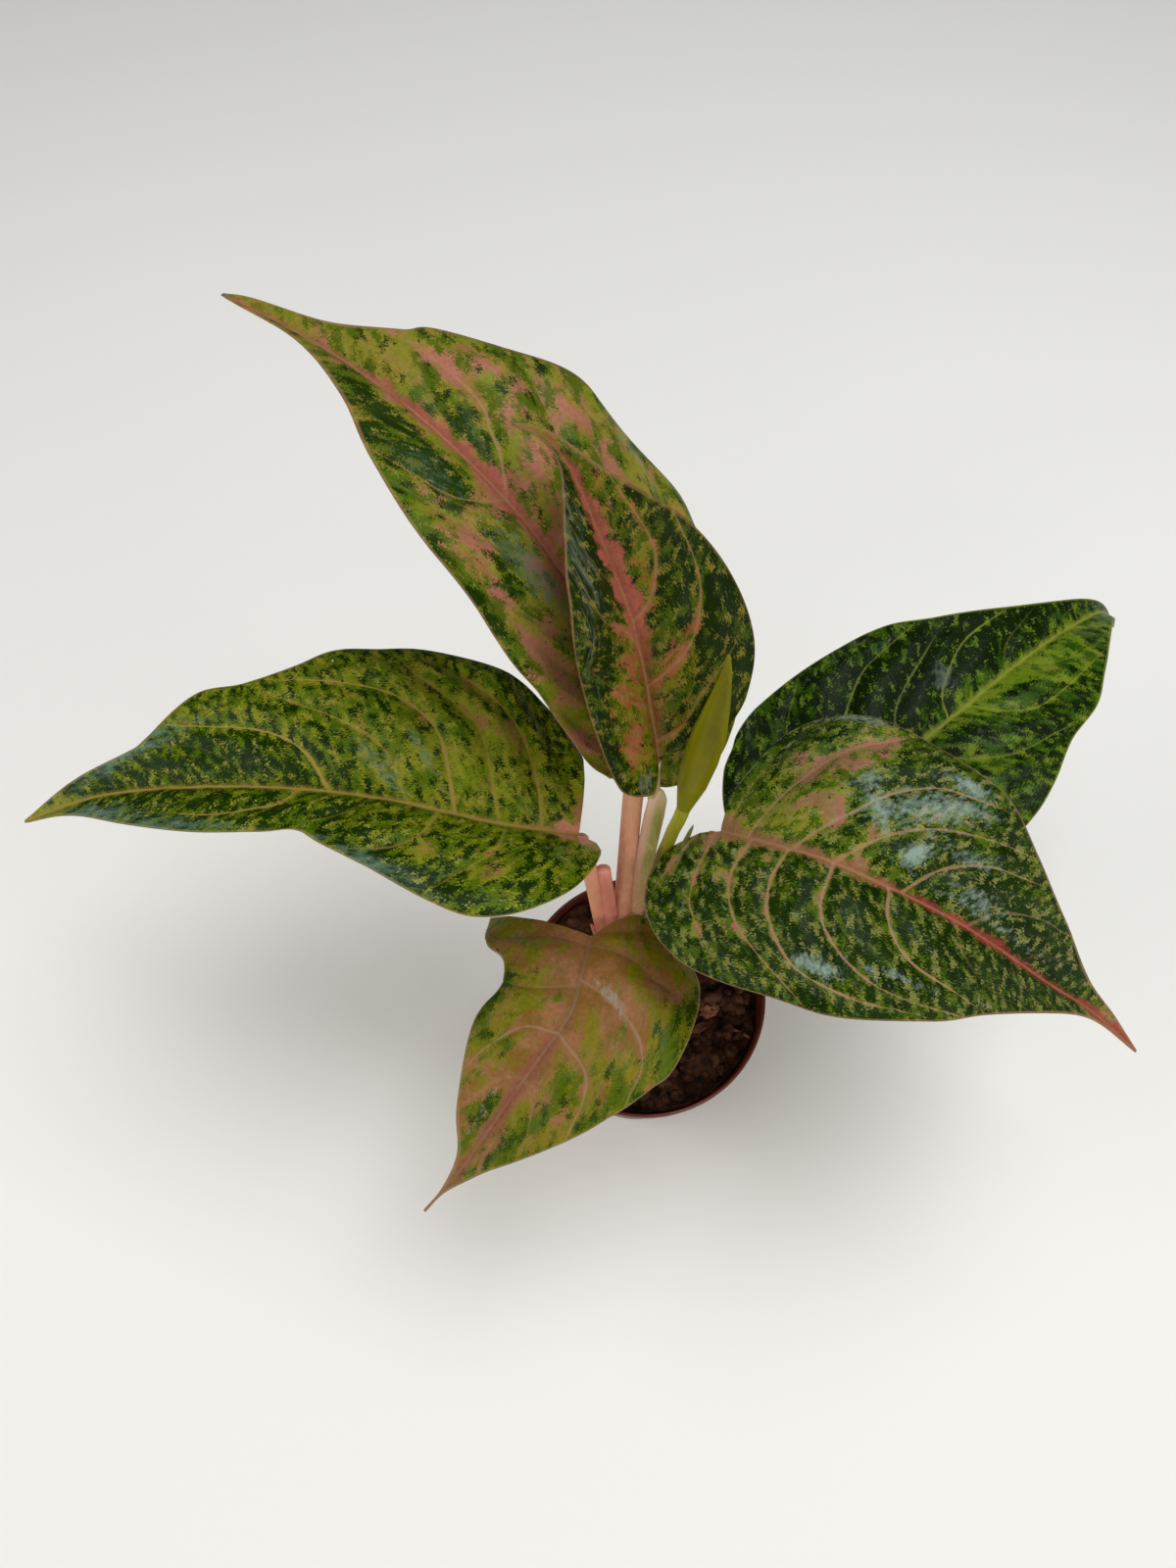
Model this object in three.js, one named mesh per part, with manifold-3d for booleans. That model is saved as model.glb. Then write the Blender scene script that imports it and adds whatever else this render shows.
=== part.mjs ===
// A young Chinese evergreen with six mottled leaves and one flower bud, in a 9 cm nursery pot.
// Millimetres, +Z up. The origin is the centre of the pot's underside, and the front is -Y.
import * as THREE from 'three';
import { mergeVertices } from 'three/addons/utils/BufferGeometryUtils.js';
import Module from 'manifold-3d';

const wasm = await Module();
wasm.setup();

// Clearance that separate pieces keep to each other, and a stalk's top to its blade
const gap = 0.35;
const seatGap = 0.5;
// Edges shorter than this are closed up after a cut
const sliver = 0.02;

// Pot: thin moulded shell with a stepped collar under the rim and drain holes round its foot
const pot = {
  height: 80,
  rimRadius: 45,
  collarFoot: 43.6,
  collarHeight: 10,
  shoulderRadius: 42,
  footRadius: 32,
  wall: 1.3,
  floor: 1.6,
  sides: 48,
  drainHoles: 8,
  drainRadius: 3.2,
  drainCircle: 26,
  drillSides: 10,
  shoulderStep: 0.8,
};

// Soil: filled to 9 mm below the rim, with a lumpy top and chips of bark in it
const soil = {
  top: 70.5,
  lump: 1.3,
  sides: 40,
  rings: 6,
  edgeDrop: 0.8,
  stepUp: 3,
  chips: 12,
  chipSides: 5,
  chipLength: 7,
  chipWidth: 4,
  chipHeight: 2.4,
  chipTaper: 0.55,
  chipSizes: [0.7, 1.4],
  chipField: [12, 34],
  goldenAngle: 2.4,
  seed: 7,
};

// Stem: short cane with a few thick roots at its foot, all below the leaf bases
const stem = {
  path: [[-4, 1, 38], [-5, 3, 58], [-7.5, 7, 76], [-8.5, 9.5, 88]],
  radius: 6,
  topRadius: 4.2,
  sides: 12,
  rootCount: 4,
  rootRadius: 1.7,
  rootTip: 0.8,
  rootReach: 25,
  rootFoot: 12,
  rootSides: 6,
};

// Blade: how every leaf is built up from its midrib and its two margins
const blade = {
  thickness: 0.85,
  rows: 28,
  stations: [0, 0.07, 0.3, 0.55, 0.8, 1],
  veins: 7,
  veinStart: 1.6,
  veinEnd: 0.85,
  veinElbow: [0.25, 0.6],
  lobeElbow: 0.35,
  lobeEdge: 0.06,
  quilt: 1.3,
  quiltFrom: 12,
  rippleEnd: 0.12,
  ribDepth: 2.2,
  ribWidth: 2.6,
};

// Stalk: round leaf stalk with a wider clasping base
const stalk = {
  baseWidth: 4.3,
  baseDepth: 3.4,
  sheathDepth: 1.1,
  claspEnd: 0.45,
  sides: 10,
  rings: 8,
  sheathSides: 8,
  sheathRings: 6,
};

// Leaves: midrib in space, then per side (left and right of the midrib, seen from the stalk)
// the margin on the flat blade, the fold up from the midrib at base and tip, the curl back down
// over the given reach, and the ripple of the margin as height, waves and phase
const leaves = {
  tall: {
    midrib: [[-5, 43, 172], [-10.3, 56, 190.7], [-17.6, 69.2, 209.4], [-28.5, 82, 225.8],
      [-44, 96, 240], [-69, 117, 251], [-99, 142, 252], [-131, 170, 244]],
    roll: [-6, -2],
    reach: 40,
    left: {
      margin: [[5, 11], [16, 18.5], [44, 28], [66, 35], [98, 35], [123, 26.5], [145, 14],
        [173, 4], [214, 0.4]],
      veinBend: 0.4,
      fold: [26, 24],
      curl: 15,
      ripple: [1.2, 2.5, 0.2],
    },
    right: {
      margin: [[-5, 4], [-8, 10], [-8, 24], [4, 38], [30, 45], [54, 48], [68, 53], [94, 49],
        [108, 47], [126, 34.5], [146, 24], [152, 17.5], [172, 7], [203, 3], [214, 0.4]],
      fold: [12, 20],
      curl: 30,
      ripple: [1.6, 3, 0.6],
    },
    stalk: [[-8.7, 8.5, 84], [-10, 14.5, 96], [-9, 22.8, 109], [-8, 32.4, 135], [-6.6, 40.3, 163],
      [-5.3, 42.5, 169.8]],
    stalkRadius: 2.8,
  },
  young: {
    midrib: [[1, 41, 188], [-6.5, 65.5, 217], [-16.5, 81, 240], [-25, 95, 252], [-32, 102, 256],
      [-40, 105, 258]],
    roll: [0, 0],
    reach: 30,
    left: {
      margin: [[-6, 2.5], [-9.5, 6], [-5, 16], [2, 20.5], [21, 24.5], [36, 27],
        [54, 31.5], [64, 25.5], [73, 16], [91, 4], [108, 0.4]],
      fold: [40, 40],
      curl: 10,
      ripple: [0.8, 2, 0.1],
    },
    right: {
      margin: [[4, 22.5], [12.5, 30], [27, 35], [47, 31.5], [66, 22.5],
        [88, 6], [108, 0.4]],
      fold: [10, 20],
      curl: 25,
      ripple: [1, 2, 0.4],
    },
    stalk: [[-7.5, 9, 84], [-4, 16, 96], [-1, 23.8, 109], [0.5, 32.5, 135], [1.6, 38, 156],
      [1.8, 40.4, 176], [1.2, 40.9, 184.8]],
    stalkRadius: 2.6,
    sheath: [[-5, 15.5, 94], [-3.1, 21, 106], [-0.3, 28, 127], [1, 33.5, 145], [2, 37.3, 161],
      [2.1, 38.6, 167]],
    sheathHalf: [2.6, 2.8, 3, 3.1, 3.1, 2.4],
  },
  left: {
    midrib: [[-23, 29, 158], [-50, 29, 168], [-80, 34, 173], [-111, 39, 171], [-145, 43, 164],
      [-179, 44, 155], [-206, 39, 146]],
    roll: [4, 4],
    reach: 44,
    left: {
      margin: [[-5, 3.5], [-5.5, 9], [1, 20], [12, 29.5], [28, 37.5], [42, 35], [73, 23],
        [84, 18], [96, 19.5], [120, 19.5], [148, 14], [176, 3.6], [190, 0.4]],
      fold: [40, 24],
      curl: 30,
      ripple: [1.2, 2.5, 0.3],
    },
    right: {
      margin: [[1, 24.5], [5, 32], [14, 41], [28, 48], [59, 53.5], [76, 49.5],
        [87, 46.5], [98, 40], [114, 34.5], [129, 31.5], [143.5, 17], [151, 12.5], [173, 6],
        [190, 0.4]],
      fold: [22, 20],
      curl: 30,
      ripple: [1.8, 3, 0.8],
    },
    stalk: [[-9, 9, 83], [-13, 16.5, 94], [-15.7, 20.7, 106], [-19, 26, 132],
      [-22, 28.5, 150], [-22.5, 28.8, 154.8]],
    stalkRadius: 2.4,
    sheath: [[-9.5, 13, 90], [-11.3, 18, 103], [-13, 22.5, 118], [-14.9, 26.4, 134]],
    sheathHalf: [2.2, 2.2, 2.1, 1.9],
  },
  right: {
    midrib: [[23, 35, 148], [41, 25, 158], [57, 17, 163], [87, 2, 161], [105, -6, 153],
      [124, -14, 141], [142, -20, 128], [161, -29, 112]],
    roll: [-4, -4],
    reach: 44,
    left: {
      margin: [[0, 14.5], [4, 26.5], [9, 38], [20, 48.5], [39.5, 54.5], [70, 47],
        [85.5, 41], [107, 25.5], [123, 16], [138, 7], [154, 3.5], [170, 0.4]],
      fold: [18, 20],
      curl: 30,
      ripple: [1.6, 2.5, 0.1],
    },
    right: {
      margin: [[-6, 3.2], [-13.5, 13], [-15, 20.5], [-13.5, 29], [-9, 36.5], [-1, 43],
        [14, 47.5], [43, 47.5], [60, 44.5], [83, 33], [96.5, 24], [117, 12.5], [132, 6],
        [150, 1.6], [170, 0.4]],
      fold: [14, 20],
      curl: 30,
      ripple: [1.4, 2.5, 0.5],
    },
    stalk: [[-7.5, 9, 83], [-1, 14, 94], [6, 20, 108], [14, 27.5, 128], [21, 33.5, 144],
      [21.2, 33.6, 144.5]],
    stalkRadius: 2.8,
    sheath: [[-2.5, 14, 94], [3, 20.5, 109], [8.5, 28.5, 129], [12.4, 34, 143], [14.2, 36, 149.5]],
    sheathHalf: [2.6, 2.6, 2.2, 1.3, 0.4],
  },
  back: {
    midrib: [[45, 39, 124], [64, 49, 135], [95, 70, 145], [133, 101, 146], [157, 120, 140],
      [175, 133, 130], [187, 138, 113]],
    roll: [0, 0],
    reach: 40,
    left: {
      margin: [[-6, 4], [-9, 9], [-9, 18], [-4, 29], [4, 39], [16, 46], [62, 45.5], [84, 41.5],
        [101, 30.5], [128, 16.5], [162, 6.3], [190, 0.4]],
      fold: [14, 20],
      curl: 25,
      ripple: [1.6, 2.5, 0.7],
    },
    right: {
      margin: [[-6, 4], [-9, 9], [-11, 22], [-4, 34], [14, 43], [40, 47], [67, 44], [81, 40],
        [98.5, 33], [117, 29.5], [133, 21], [162, 7], [190, 0.4]],
      fold: [14, 20],
      curl: 25,
      ripple: [1.6, 2.5, 0.2],
    },
    stalk: [[-6.5, 10, 83], [3, 16, 91], [14, 24, 100], [30, 33, 112], [41, 38, 120],
      [43, 38.5, 121.8]],
    stalkRadius: 2.6,
  },
  front: {
    midrib: [[-19, 10.5, 113], [-21.5, -1, 117], [-26, -18, 119], [-37, -33, 115],
      [-51, -50.5, 105], [-62, -64, 96], [-75, -76, 84]],
    roll: [0, 0],
    reach: 38,
    left: {
      margin: [[-5, 4], [-9, 8], [-12.5, 16], [-5.5, 24], [4.5, 38], [16, 41], [31, 38.5],
        [37, 34.5], [56.5, 26.5], [77, 15], [90, 6.5], [104, 1], [115, 0.4]],
      fold: [8, 15],
      curl: 25,
      ripple: [1.2, 2, 0.6],
    },
    right: {
      margin: [[-2, 37], [12, 35], [18, 26.5], [38, 25], [48, 25.5],
        [58, 22.5], [77.5, 13], [90, 4.3], [104, 0.8], [115, 0.4]],
      fold: [8, 15],
      curl: 25,
      ripple: [2.4, 2.5, 0.9],
    },
    stalk: [[-9.5, 7, 82], [-14, 6.5, 90], [-17.5, 8, 101], [-18.7, 9.9, 109.9]],
    stalkRadius: 2.2,
  },
};

// Flower bud: unopened spathe on its own stalk, with the radius of the bud along its length
const bud = {
  stalk: [[0, 25, 112], [2, 30, 121], [4.4, 32.6, 132], [6.2, 33, 143], [7.3, 31.6, 155],
    [8, 28.7, 168]],
  path: [[8, 28.7, 168], [11, 35, 182], [14, 40.5, 197], [16, 44.6, 211], [17.3, 47.8, 223],
    [17.3, 49.6, 231]],
  stalkRadius: 2.2,
  radii: [2.2, 3.4, 4.9, 4.1, 2.1, 0.5],
  sides: 12,
  rings: 11,
  stalkRings: 7,
};

// Scale leaf: small pointed sheath at the crown
const scaleLeaf = {
  path: [[-10, 11, 82], [-14.5, 17, 88], [-17.5, 20, 97]],
  radii: [2.6, 1.9, 0.5],
  sides: 8,
  rings: 5,
};

const radians = THREE.MathUtils.degToRad;
const mix = THREE.MathUtils.lerp;
const clamp = THREE.MathUtils.clamp;

// Curve through points, even in length
function curveThrough(points) {
  const vectors = points.map((p) => new THREE.Vector3(p[0], p[1], p[2] ?? 0));
  return new THREE.CatmullRomCurve3(vectors, false, 'catmullrom', 0.5);
}

// Closed solid from triangles given by corner
function solidFrom(positions) {
  const geometry = new THREE.BufferGeometry();
  geometry.setAttribute('position', new THREE.Float32BufferAttribute(positions, 3));
  const merged = mergeVertices(geometry, 1e-4);
  const index = merged.index.array;
  const corners = [];
  for (let i = 0; i < index.length; i += 3) {
    const [a, b, c] = [index[i], index[i + 1], index[i + 2]];
    if (a !== b && b !== c && c !== a) corners.push(a, b, c);
  }
  const mesh = new wasm.Mesh({
    numProp: 3,
    vertProperties: new Float32Array(merged.attributes.position.array),
    triVerts: new Uint32Array(corners),
  });
  return new wasm.Manifold(mesh);
}

// Skin over a row of rings with equal counts; each ring runs anticlockwise as seen from the end
// that the row goes to, and a thin ring is closed by a strip between its two long sides
function loft(rings, thin = false) {
  const positions = [];
  const triangle = (...points) => points.forEach((p) => positions.push(p.x, p.y, p.z));
  const count = rings[0].length;
  const flipped = (j) => thin && (j < count / 2 - 1 ? j >= count / 4 - 0.5 : j < (count * 3) / 4 - 0.5);
  for (let i = 0; i + 1 < rings.length; i += 1) {
    for (let j = 0; j < count; j += 1) {
      const next = (j + 1) % count;
      const [a, b] = [rings[i][j], rings[i][next]];
      const [c, d] = [rings[i + 1][next], rings[i + 1][j]];
      if (flipped(j)) {
        triangle(a, b, d);
        triangle(b, c, d);
      } else {
        triangle(a, b, c);
        triangle(a, c, d);
      }
    }
  }
  const middle = (ring) => ring.reduce((sum, p) => sum.add(p), new THREE.Vector3())
    .divideScalar(ring.length);
  const closeWith = (ring, turn) => {
    const centre = middle(ring);
    for (let j = 0; j < count; j += 1) {
      const pair = [ring[j], ring[(j + 1) % count]];
      triangle(...(turn ? pair.reverse() : pair), centre);
    }
  };
  const closeThin = (ring, turn) => {
    for (let j = 0; j + 1 < count / 2; j += 1) {
      const [a, b, c, d] = [ring[j], ring[j + 1], ring[count - 2 - j], ring[count - 1 - j]];
      [[a, b, c], [a, c, d]].forEach((corners) => triangle(...(turn ? corners.reverse() : corners)));
    }
  };
  const close = thin ? closeThin : closeWith;
  close(rings[0], true);
  close(rings[rings.length - 1], false);
  return solidFrom(positions);
}

// Tube along a curve, with half width and half depth given along it; an even margin makes it
// larger all round
function tube(points, section, sides, rings, margin = 0) {
  const curve = curveThrough(points);
  const row = [];
  for (let i = 0; i <= rings; i += 1) {
    const t = i / rings;
    const forward = curve.getTangentAt(t);
    const beyond = i === 0 ? -margin : margin * (i === rings);
    const centre = curve.getPointAt(t).addScaledVector(forward, beyond);
    const across = new THREE.Vector3(1, 0, 0).addScaledVector(forward, -forward.x).normalize();
    const deep = new THREE.Vector3().crossVectors(forward, across);
    const [width, depth] = section(t);
    const ring = [];
    for (let j = 0; j < sides; j += 1) {
      const angle = (2 * Math.PI * j) / sides;
      ring.push(centre.clone()
        .addScaledVector(across, (width + margin) * Math.cos(angle))
        .addScaledVector(deep, (depth + margin) * Math.sin(angle)));
    }
    row.push(ring);
  }
  return loft(row);
}

// Value along a list of evenly spaced values
function along(values, t) {
  const step = clamp(t, 0, 1) * (values.length - 1);
  const cell = Math.min(Math.floor(step), values.length - 2);
  return mix(values[cell], values[cell + 1], step - cell);
}

// Ring of points about the pot's axis, each at the height that its place has
function circle(radius, sides, heightAt) {
  const ring = [];
  for (let j = 0; j < sides; j += 1) {
    const angle = (2 * Math.PI * j) / sides;
    const x = radius * Math.cos(angle);
    const y = radius * Math.sin(angle);
    ring.push(new THREE.Vector3(x, y, heightAt(x, y)));
  }
  return ring;
}

// Solid of revolution from radius and height pairs
function turned(profile, sides) {
  return loft(profile.map(([radius, height]) => circle(radius, sides, () => height)));
}

// Largest body of a cut solid, without the scraps
function mainBody(solid) {
  const bodies = solid.decompose();
  return bodies.reduce((a, b) => (a.volume() > b.volume() ? a : b)).simplify(sliver);
}

function wallRadius(height) {
  return mix(pot.footRadius, pot.shoulderRadius, height / (pot.height - pot.collarHeight));
}

// Pot with its drain holes
function makePot() {
  const shoulder = pot.height - pot.collarHeight;
  const outside = [[pot.footRadius, 0], [pot.shoulderRadius, shoulder - pot.shoulderStep],
    [pot.collarFoot, shoulder], [pot.rimRadius, pot.height]];
  const inside = [[pot.rimRadius - pot.wall, pot.height],
    [pot.collarFoot - pot.wall, shoulder],
    [pot.shoulderRadius - pot.wall, shoulder - pot.shoulderStep],
    [wallRadius(pot.floor) - pot.wall, pot.floor]];
  let body = turned([...outside, ...inside], pot.sides);
  for (let i = 0; i < pot.drainHoles; i += 1) {
    const angle = (2 * Math.PI * (i + 0.5)) / pot.drainHoles;
    const x = pot.drainCircle * Math.cos(angle);
    const y = pot.drainCircle * Math.sin(angle);
    const route = [-2, 1, 4].map((times) => [x, y, times * pot.floor]);
    const drill = tube(route, () => [pot.drainRadius, pot.drainRadius], pot.drillSides, 2);
    body = body.subtract(drill);
  }
  return body;
}

// Uneven height of the soil, as a sum of waves that meet at odd angles
function lumpAt(x, y) {
  const coarse = Math.sin(0.31 * x + 0.17 * y + 1.1) + Math.sin(0.23 * y - 0.29 * x + 0.4);
  const fine = Math.sin(0.71 * x - 0.43 * y) * Math.sin(0.59 * y + 0.37 * x + 2.0);
  return soil.lump * (0.45 * coarse + 0.6 * fine);
}

// Repeatable draw between 0 and 1
let drawn = soil.seed;
function draw() {
  drawn = (drawn * 16807) % 2147483647;
  return drawn / 2147483647;
}

// Wedge-shaped chip of bark, turned and tipped
function makeChip(x, y) {
  const rings = [-1, -0.4, 0.5, 1].map((step) => {
    const taper = 1 - soil.chipTaper * step * step;
    const ring = [];
    for (let j = 0; j < soil.chipSides; j += 1) {
      const angle = (2 * Math.PI * j) / soil.chipSides + 0.3 * step;
      const uneven = 0.85 + 0.3 * draw();
      ring.push(new THREE.Vector3(
        (step * soil.chipLength) / 2,
        (Math.cos(angle) * taper * uneven * soil.chipWidth) / 2,
        (Math.sin(angle) * taper * uneven * soil.chipHeight) / 2,
      ));
    }
    return ring;
  });
  const turn = new THREE.Euler(0.5 * (draw() - 0.5), 0.7 * (draw() - 0.5), 2 * Math.PI * draw());
  const seat = new THREE.Vector3(x, y, soil.top + lumpAt(x, y));
  const size = mix(soil.chipSizes[0], soil.chipSizes[1], draw());
  rings.flat().forEach((p) => p.multiplyScalar(size).applyEuler(turn).add(seat));
  return loft(rings);
}

// Soil body with its lumps and chips, and a plain hole for the stem and roots
function makeSoil() {
  const inner = (height) => wallRadius(height) - pot.wall - gap;
  const foot = pot.floor + gap;
  const brim = soil.top - soil.stepUp;
  const rings = [[inner(foot), foot], [inner(brim), brim]].map(([radius, height]) => {
    return circle(radius, soil.sides, () => height);
  });
  for (let i = 0; i < soil.rings; i += 1) {
    const radius = inner(brim) * (1 - i / soil.rings);
    const drop = i === 0 ? soil.edgeDrop : 0;
    rings.push(circle(radius, soil.sides, (x, y) => soil.top + lumpAt(x, y) - drop));
  }
  let body = loft(rings);
  for (let i = 0; i < soil.chips; i += 1) {
    const angle = soil.goldenAngle * i;
    const radius = mix(soil.chipField[0], soil.chipField[1], Math.sqrt((i + 0.5) / soil.chips));
    body = body.add(makeChip(radius * Math.cos(angle), radius * Math.sin(angle)));
  }
  return mainBody(body.subtract(makeStem(gap)));
}

// Stem with its roots; grown by an even margin where another piece is cut to fit it
function makeStem(margin = 0) {
  const cane = (t) => {
    const radius = mix(stem.radius, stem.topRadius, t ** 4);
    return [radius, radius];
  };
  const [footX, footY, footZ] = stem.path[0];
  let body = tube(stem.path, cane, stem.sides, 6, margin);
  for (let i = 0; i < stem.rootCount; i += 1) {
    const angle = (2 * Math.PI * i) / stem.rootCount + 0.5;
    const [dx, dy] = [Math.cos(angle), Math.sin(angle)];
    const reach = stem.rootReach - 2 * (i % 3);
    const bend = reach * 0.55;
    const drop = mix(footZ, stem.rootFoot, 0.35);
    const root = [[footX, footY, footZ + 6], [footX + bend * dx, footY + bend * dy, drop],
      [footX + reach * dx, footY + reach * dy, stem.rootFoot + 3 * (i % 2)]];
    const taper = (t) => {
      const radius = mix(stem.rootRadius, stem.rootTip, t);
      return [radius, radius];
    };
    body = body.add(tube(root, taper, stem.rootSides, 4, margin));
  }
  return body;
}

// Place and directions on the midrib, at a length from the stalk
function midribFrame(leaf, length) {
  const t = clamp(length / leaf.length, 0, 1);
  const forward = leaf.curve.getTangentAt(t);
  const spot = leaf.curve.getPointAt(t).addScaledVector(forward, length - t * leaf.length);
  const level = new THREE.Vector3(0, 0, 1).addScaledVector(forward, -forward.z).normalize();
  const sideways = new THREE.Vector3().crossVectors(level, forward);
  const roll = radians(mix(leaf.roll[0], leaf.roll[1], t));
  const up = level.multiplyScalar(Math.cos(roll)).addScaledVector(sideways, Math.sin(roll));
  const left = new THREE.Vector3().crossVectors(up, forward);
  return { t, spot, up, left };
}

// Point on the flat blade: v runs from the midrib out to the margin along a curving side vein
function veinPoint(leaf, half, s, v, margin) {
  const start = leaf.length * s ** blade.veinStart;
  const end = half.curve.getPointAt(s ** blade.veinEnd);
  const edge = half.curve.getTangentAt(s ** blade.veinEnd);
  end.add(new THREE.Vector3(-edge.y, edge.x, 0).multiplyScalar(margin));
  const ahead = end.x - start;
  const free = clamp(s / blade.lobeEdge, 0, 1);
  const bendX = (half.veinBend ?? blade.veinElbow[0]) * Math.max(0, ahead);
  const bendY = blade.veinElbow[1] * end.y + blade.lobeElbow * Math.max(0, -ahead);
  const elbowX = start + mix(ahead / 2, bendX, free);
  const elbowY = mix(end.y / 2, bendY, free);
  const w = 1 - v;
  const x = w * w * start + 2 * w * v * elbowX + v * v * end.x - margin * (1 - s);
  const y = 2 * w * v * elbowY + v * v * end.y;
  return [x, y];
}

// Upper and lower point of the blade at one place of one half; sign is 1 for the left half
function bladePoints(leaf, half, sign, s, v, margin) {
  const [x, y] = veinPoint(leaf, half, s, v, margin);
  const { t, spot, up, left } = midribFrame(leaf, x);
  const out = y / leaf.reach;
  const fold = radians(mix(half.fold[0], half.fold[1], t));
  const curl = radians(half.curl);
  const slope = fold - curl * out;
  const sideways = (leaf.reach / curl) * (Math.sin(fold) - Math.sin(slope));
  const [height, waves, phase] = half.ripple;
  const fade = clamp((1 - t) / blade.rippleEnd, 0, 1);
  const wave = Math.sin(2 * Math.PI * ((waves * x) / leaf.length + phase));
  const ripple = height * out * out * wave * fade;
  const cell = Math.sin(Math.PI * blade.veins * s) ** 2;
  const quilt = blade.quilt * cell * Math.sin(Math.PI * v) * Math.min(1, y / blade.quiltFrom);
  const rise = (leaf.reach / curl) * (Math.cos(slope) - Math.cos(fold)) + ripple + quilt;
  const surface = spot.clone()
    .addScaledVector(left, sign * sideways)
    .addScaledVector(up, rise);
  const tilt = v === 0 ? 0 : slope;
  const normal = up.clone().multiplyScalar(Math.cos(tilt))
    .addScaledVector(left, -sign * Math.sin(tilt));
  const rib = blade.ribDepth * (1 - s) ** 0.8 * clamp(1 - y / blade.ribWidth, 0, 1);
  const upper = surface.clone().addScaledVector(normal, margin);
  const lower = surface.clone().addScaledVector(normal, -blade.thickness - rib - margin);
  return { upper, lower };
}

// Blade as a row of thin cross sections from the stalk to the tip
function makeBlade(leaf, margin = 0) {
  const outwards = blade.stations;
  const inwards = [...outwards].reverse();
  const across = [...inwards.map((v) => [leaf.left, 1, v]),
    ...outwards.slice(1).map((v) => [leaf.right, -1, v])];
  const rings = [];
  for (let i = 0; i <= blade.rows; i += 1) {
    const s = i / blade.rows;
    const points = across.map(([half, sign, v]) => bladePoints(leaf, half, sign, s, v, margin));
    const upper = points.map((p) => p.upper);
    const lower = points.map((p) => p.lower).reverse();
    rings.push([...upper, ...lower]);
  }
  return loft(rings, true);
}

// Leaf stalk with its clasping base, grown by an even margin where it cuts others
function makeStalk(leaf, margin = 0) {
  const section = (t) => {
    const clasp = (1 - clamp(t / stalk.claspEnd, 0, 1)) ** 1.5;
    return [mix(leaf.stalkRadius, stalk.baseWidth, clasp),
      mix(leaf.stalkRadius, stalk.baseDepth, clasp)];
  };
  const round = tube(leaf.stalk, section, stalk.sides, stalk.rings, margin);
  if (!leaf.sheath) return round;
  const flat = (t) => [along(leaf.sheathHalf, t), stalk.sheathDepth];
  return round.add(tube(leaf.sheath, flat, stalk.sheathSides, stalk.sheathRings, margin));
}

// Flower bud and its stalk in one piece
function makeBud(margin = 0) {
  const even = () => [bud.stalkRadius, bud.stalkRadius];
  const swelling = (t) => [along(bud.radii, t), along(bud.radii, t)];
  const foot = tube(bud.stalk, even, bud.sides, bud.stalkRings, margin);
  return foot.add(tube(bud.path, swelling, bud.sides, bud.rings, margin));
}

// Small pointed sheath at the crown
function makeScaleLeaf(margin = 0) {
  const taper = (t) => [along(scaleLeaf.radii, t), 0.8 * along(scaleLeaf.radii, t)];
  return tube(scaleLeaf.path, taper, scaleLeaf.sides, scaleLeaf.rings, margin);
}

// Margin curve whose last point meets the tip of the midrib
function marginCurve(margin, length) {
  const stretch = length / margin[margin.length - 1][0];
  return curveThrough(margin.map(([x, y]) => [x * stretch, y]));
}

Object.values(leaves).forEach((leaf) => {
  leaf.curve = curveThrough(leaf.midrib);
  leaf.length = leaf.curve.getLength();
  leaf.left.curve = marginCurve(leaf.left.margin, leaf.length);
  leaf.right.curve = marginCurve(leaf.right.margin, leaf.length);
});

const group = new THREE.Group();

function place(name, solid, colour, roughness) {
  const { vertProperties, triVerts } = solid.getMesh();
  const geometry = new THREE.BufferGeometry();
  geometry.setAttribute('position', new THREE.BufferAttribute(vertProperties, 3));
  geometry.setIndex(new THREE.BufferAttribute(triVerts, 1));
  geometry.computeVertexNormals();
  const material = new THREE.MeshStandardMaterial({ color: colour, roughness, metalness: 0 });
  const mesh = new THREE.Mesh(geometry, material);
  mesh.name = name;
  group.add(mesh);
}

place('pot', makePot(), '#5a2a22', 0.5);
place('soil', makeSoil(), '#2b1b14', 0.95);
place('stem', makeStem(), '#a8705a', 0.6);

const bladeColours = {
  tall: '#7f7a45', young: '#6b6a3a', left: '#4d6123', right: '#55683a', back: '#38571d',
  front: '#9a8553',
};
const cutters = [makeStem(gap)];
const order = ['front', 'left', 'tall', 'young', 'right', 'back'];
const nearBlades = wasm.Manifold.union(order.map((name) => makeBlade(leaves[name], seatGap)));
order.forEach((name) => {
  const leaf = leaves[name];
  place(`blade_${name}`, makeBlade(leaf), bladeColours[name], 0.35);
  const cutter = wasm.Manifold.union([...cutters, nearBlades]);
  place(`stalk_${name}`, mainBody(makeStalk(leaf).subtract(cutter)), '#c08068', 0.5);
  cutters.push(makeStalk(leaf, gap));
});
place('flower_bud', mainBody(makeBud().subtract(wasm.Manifold.union(cutters))), '#8a8a2a', 0.4);
cutters.push(makeBud(gap));
place('scale_leaf', mainBody(makeScaleLeaf().subtract(wasm.Manifold.union(cutters))), '#c98a7a', 0.5);

export default group;
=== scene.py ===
# Potted Chinese evergreen: six mottled leaves and a flower bud in a 9 cm nursery pot.
# Pieces are given in millimetres, in the frame of the imported model, and put into the scene in metres.
import math
import random
from functools import partial

import bmesh
import bpy
import numpy as np
from mathutils import Matrix, Vector, noise


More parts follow.
